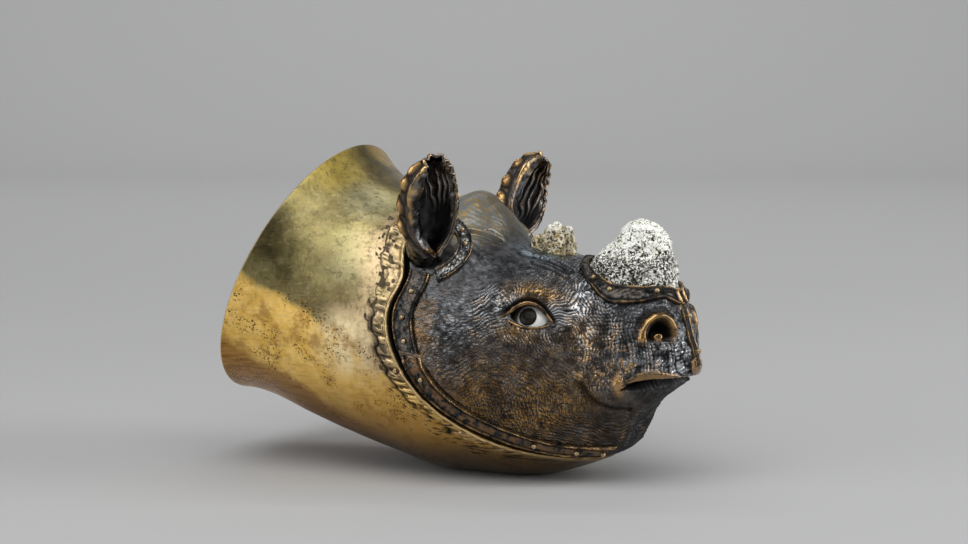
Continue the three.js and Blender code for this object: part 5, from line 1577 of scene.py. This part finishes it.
AZIMUTH = math.radians(26)
ELEVATION = math.radians(6)
TARGET = np.array([-3.9, 0, 68.1]) * MM
DISTANCE = 0.8
LENS = 86.2
SENSOR = 36
SWEEP_BEND = 0.7
SWEEP_END = -1.6
SWEEP_TOP = 3.2
SWEEP_SINK = 0.0001
to_right = np.array([math.cos(AZIMUTH), math.sin(AZIMUTH), 0])
level_back = np.array([math.sin(AZIMUTH), -math.cos(AZIMUTH), 0])
to_camera = level_back * math.cos(ELEVATION) + Z * math.sin(ELEVATION)


def look_at(thing, place, target):
    thing.location = Vector(place)
    thing.rotation_euler = (Vector(target) - Vector(place)).to_track_quat("-Z", "Y").to_euler()
    bpy.context.scene.collection.objects.link(thing)


def make_sweep():
    """Floor that curves up into a backdrop behind the object."""
    line = [(2.6, 0), (0.6, 0), (0, 0), (-0.6, 0)]
    for angle in np.linspace(0, np.pi / 2, 24):
        line.append((SWEEP_END - SWEEP_BEND * math.sin(angle), SWEEP_BEND * (1 - math.cos(angle))))
    line.append((SWEEP_END - SWEEP_BEND, SWEEP_TOP))
    across = np.linspace(-4, 4, 5)
    rows = [level_back * far + Z * (up - SWEEP_SINK) for far, up in line]
    points = np.array([[row + to_right * s for s in across] for row in rows])
    mesh = bpy.data.meshes.new("sweep")
    mesh.from_pydata(points.reshape(-1, 3).tolist(), [], grid_faces(*points.shape[:2])[:, ::-1].tolist())
    mesh.shade_smooth()
    n = Nodes("sweep_paper", roughness=0.9, specular_ior_level=0.1)
    # Lighter in reflections than to the camera: painted brightness in the floor's reflections
    glossy = n.node("LightPath", {}, "Is Glossy Ray")
    n.colour = n.mix(glossy, (0.45, 0.45, 0.45), (0.62, 0.62, 0.62))
    mesh.materials.append(n.finish())
    sweep = bpy.data.objects.new("sweep", mesh)
    bpy.context.scene.collection.objects.link(sweep)


def make_light(name, place, target, size, power):
    light = bpy.data.lights.new(name, "AREA")
    light.shape = "RECTANGLE"
    light.size, light.size_y = size
    light.energy = power
    look_at(bpy.data.objects.new(name, light), place, target)


make_sweep()
middle = np.array([0, 0, 0.05])
make_light("front_box", middle + Z * 0.85 + level_back * 0.5 - to_right * 0.05, middle, (1.2, 0.85), 8.4)
make_light("left_box", middle - to_right * 1.0 + level_back * 0.45 + Z * 0.15, middle, (0.9, 1.0), 5.5)
make_light("right_box", middle + to_right * 1.15 + level_back * 0.1 + Z * 0.4, middle, (0.6, 0.9), 8.5)
wall = middle - level_back * 2.2 + Z * 0.4
make_light("backdrop_wash", middle - level_back * 0.9 + Z * 1.6, wall, (2.4, 0.5), 24)

world = bpy.data.worlds.new("studio")
world.use_nodes = True
background = world.node_tree.nodes["Background"]
background.inputs["Color"].default_value = (0.55, 0.56, 0.58, 1)
background.inputs["Strength"].default_value = 0.3
bpy.context.scene.world = world

camera = bpy.data.cameras.new("camera")
camera.sensor_width = SENSOR
camera.lens = LENS
look_at(bpy.data.objects.new("camera", camera), TARGET + to_camera * DISTANCE, TARGET)
bpy.context.scene.camera = bpy.data.objects["camera"]
bpy.context.scene.view_settings.view_transform = "Standard"
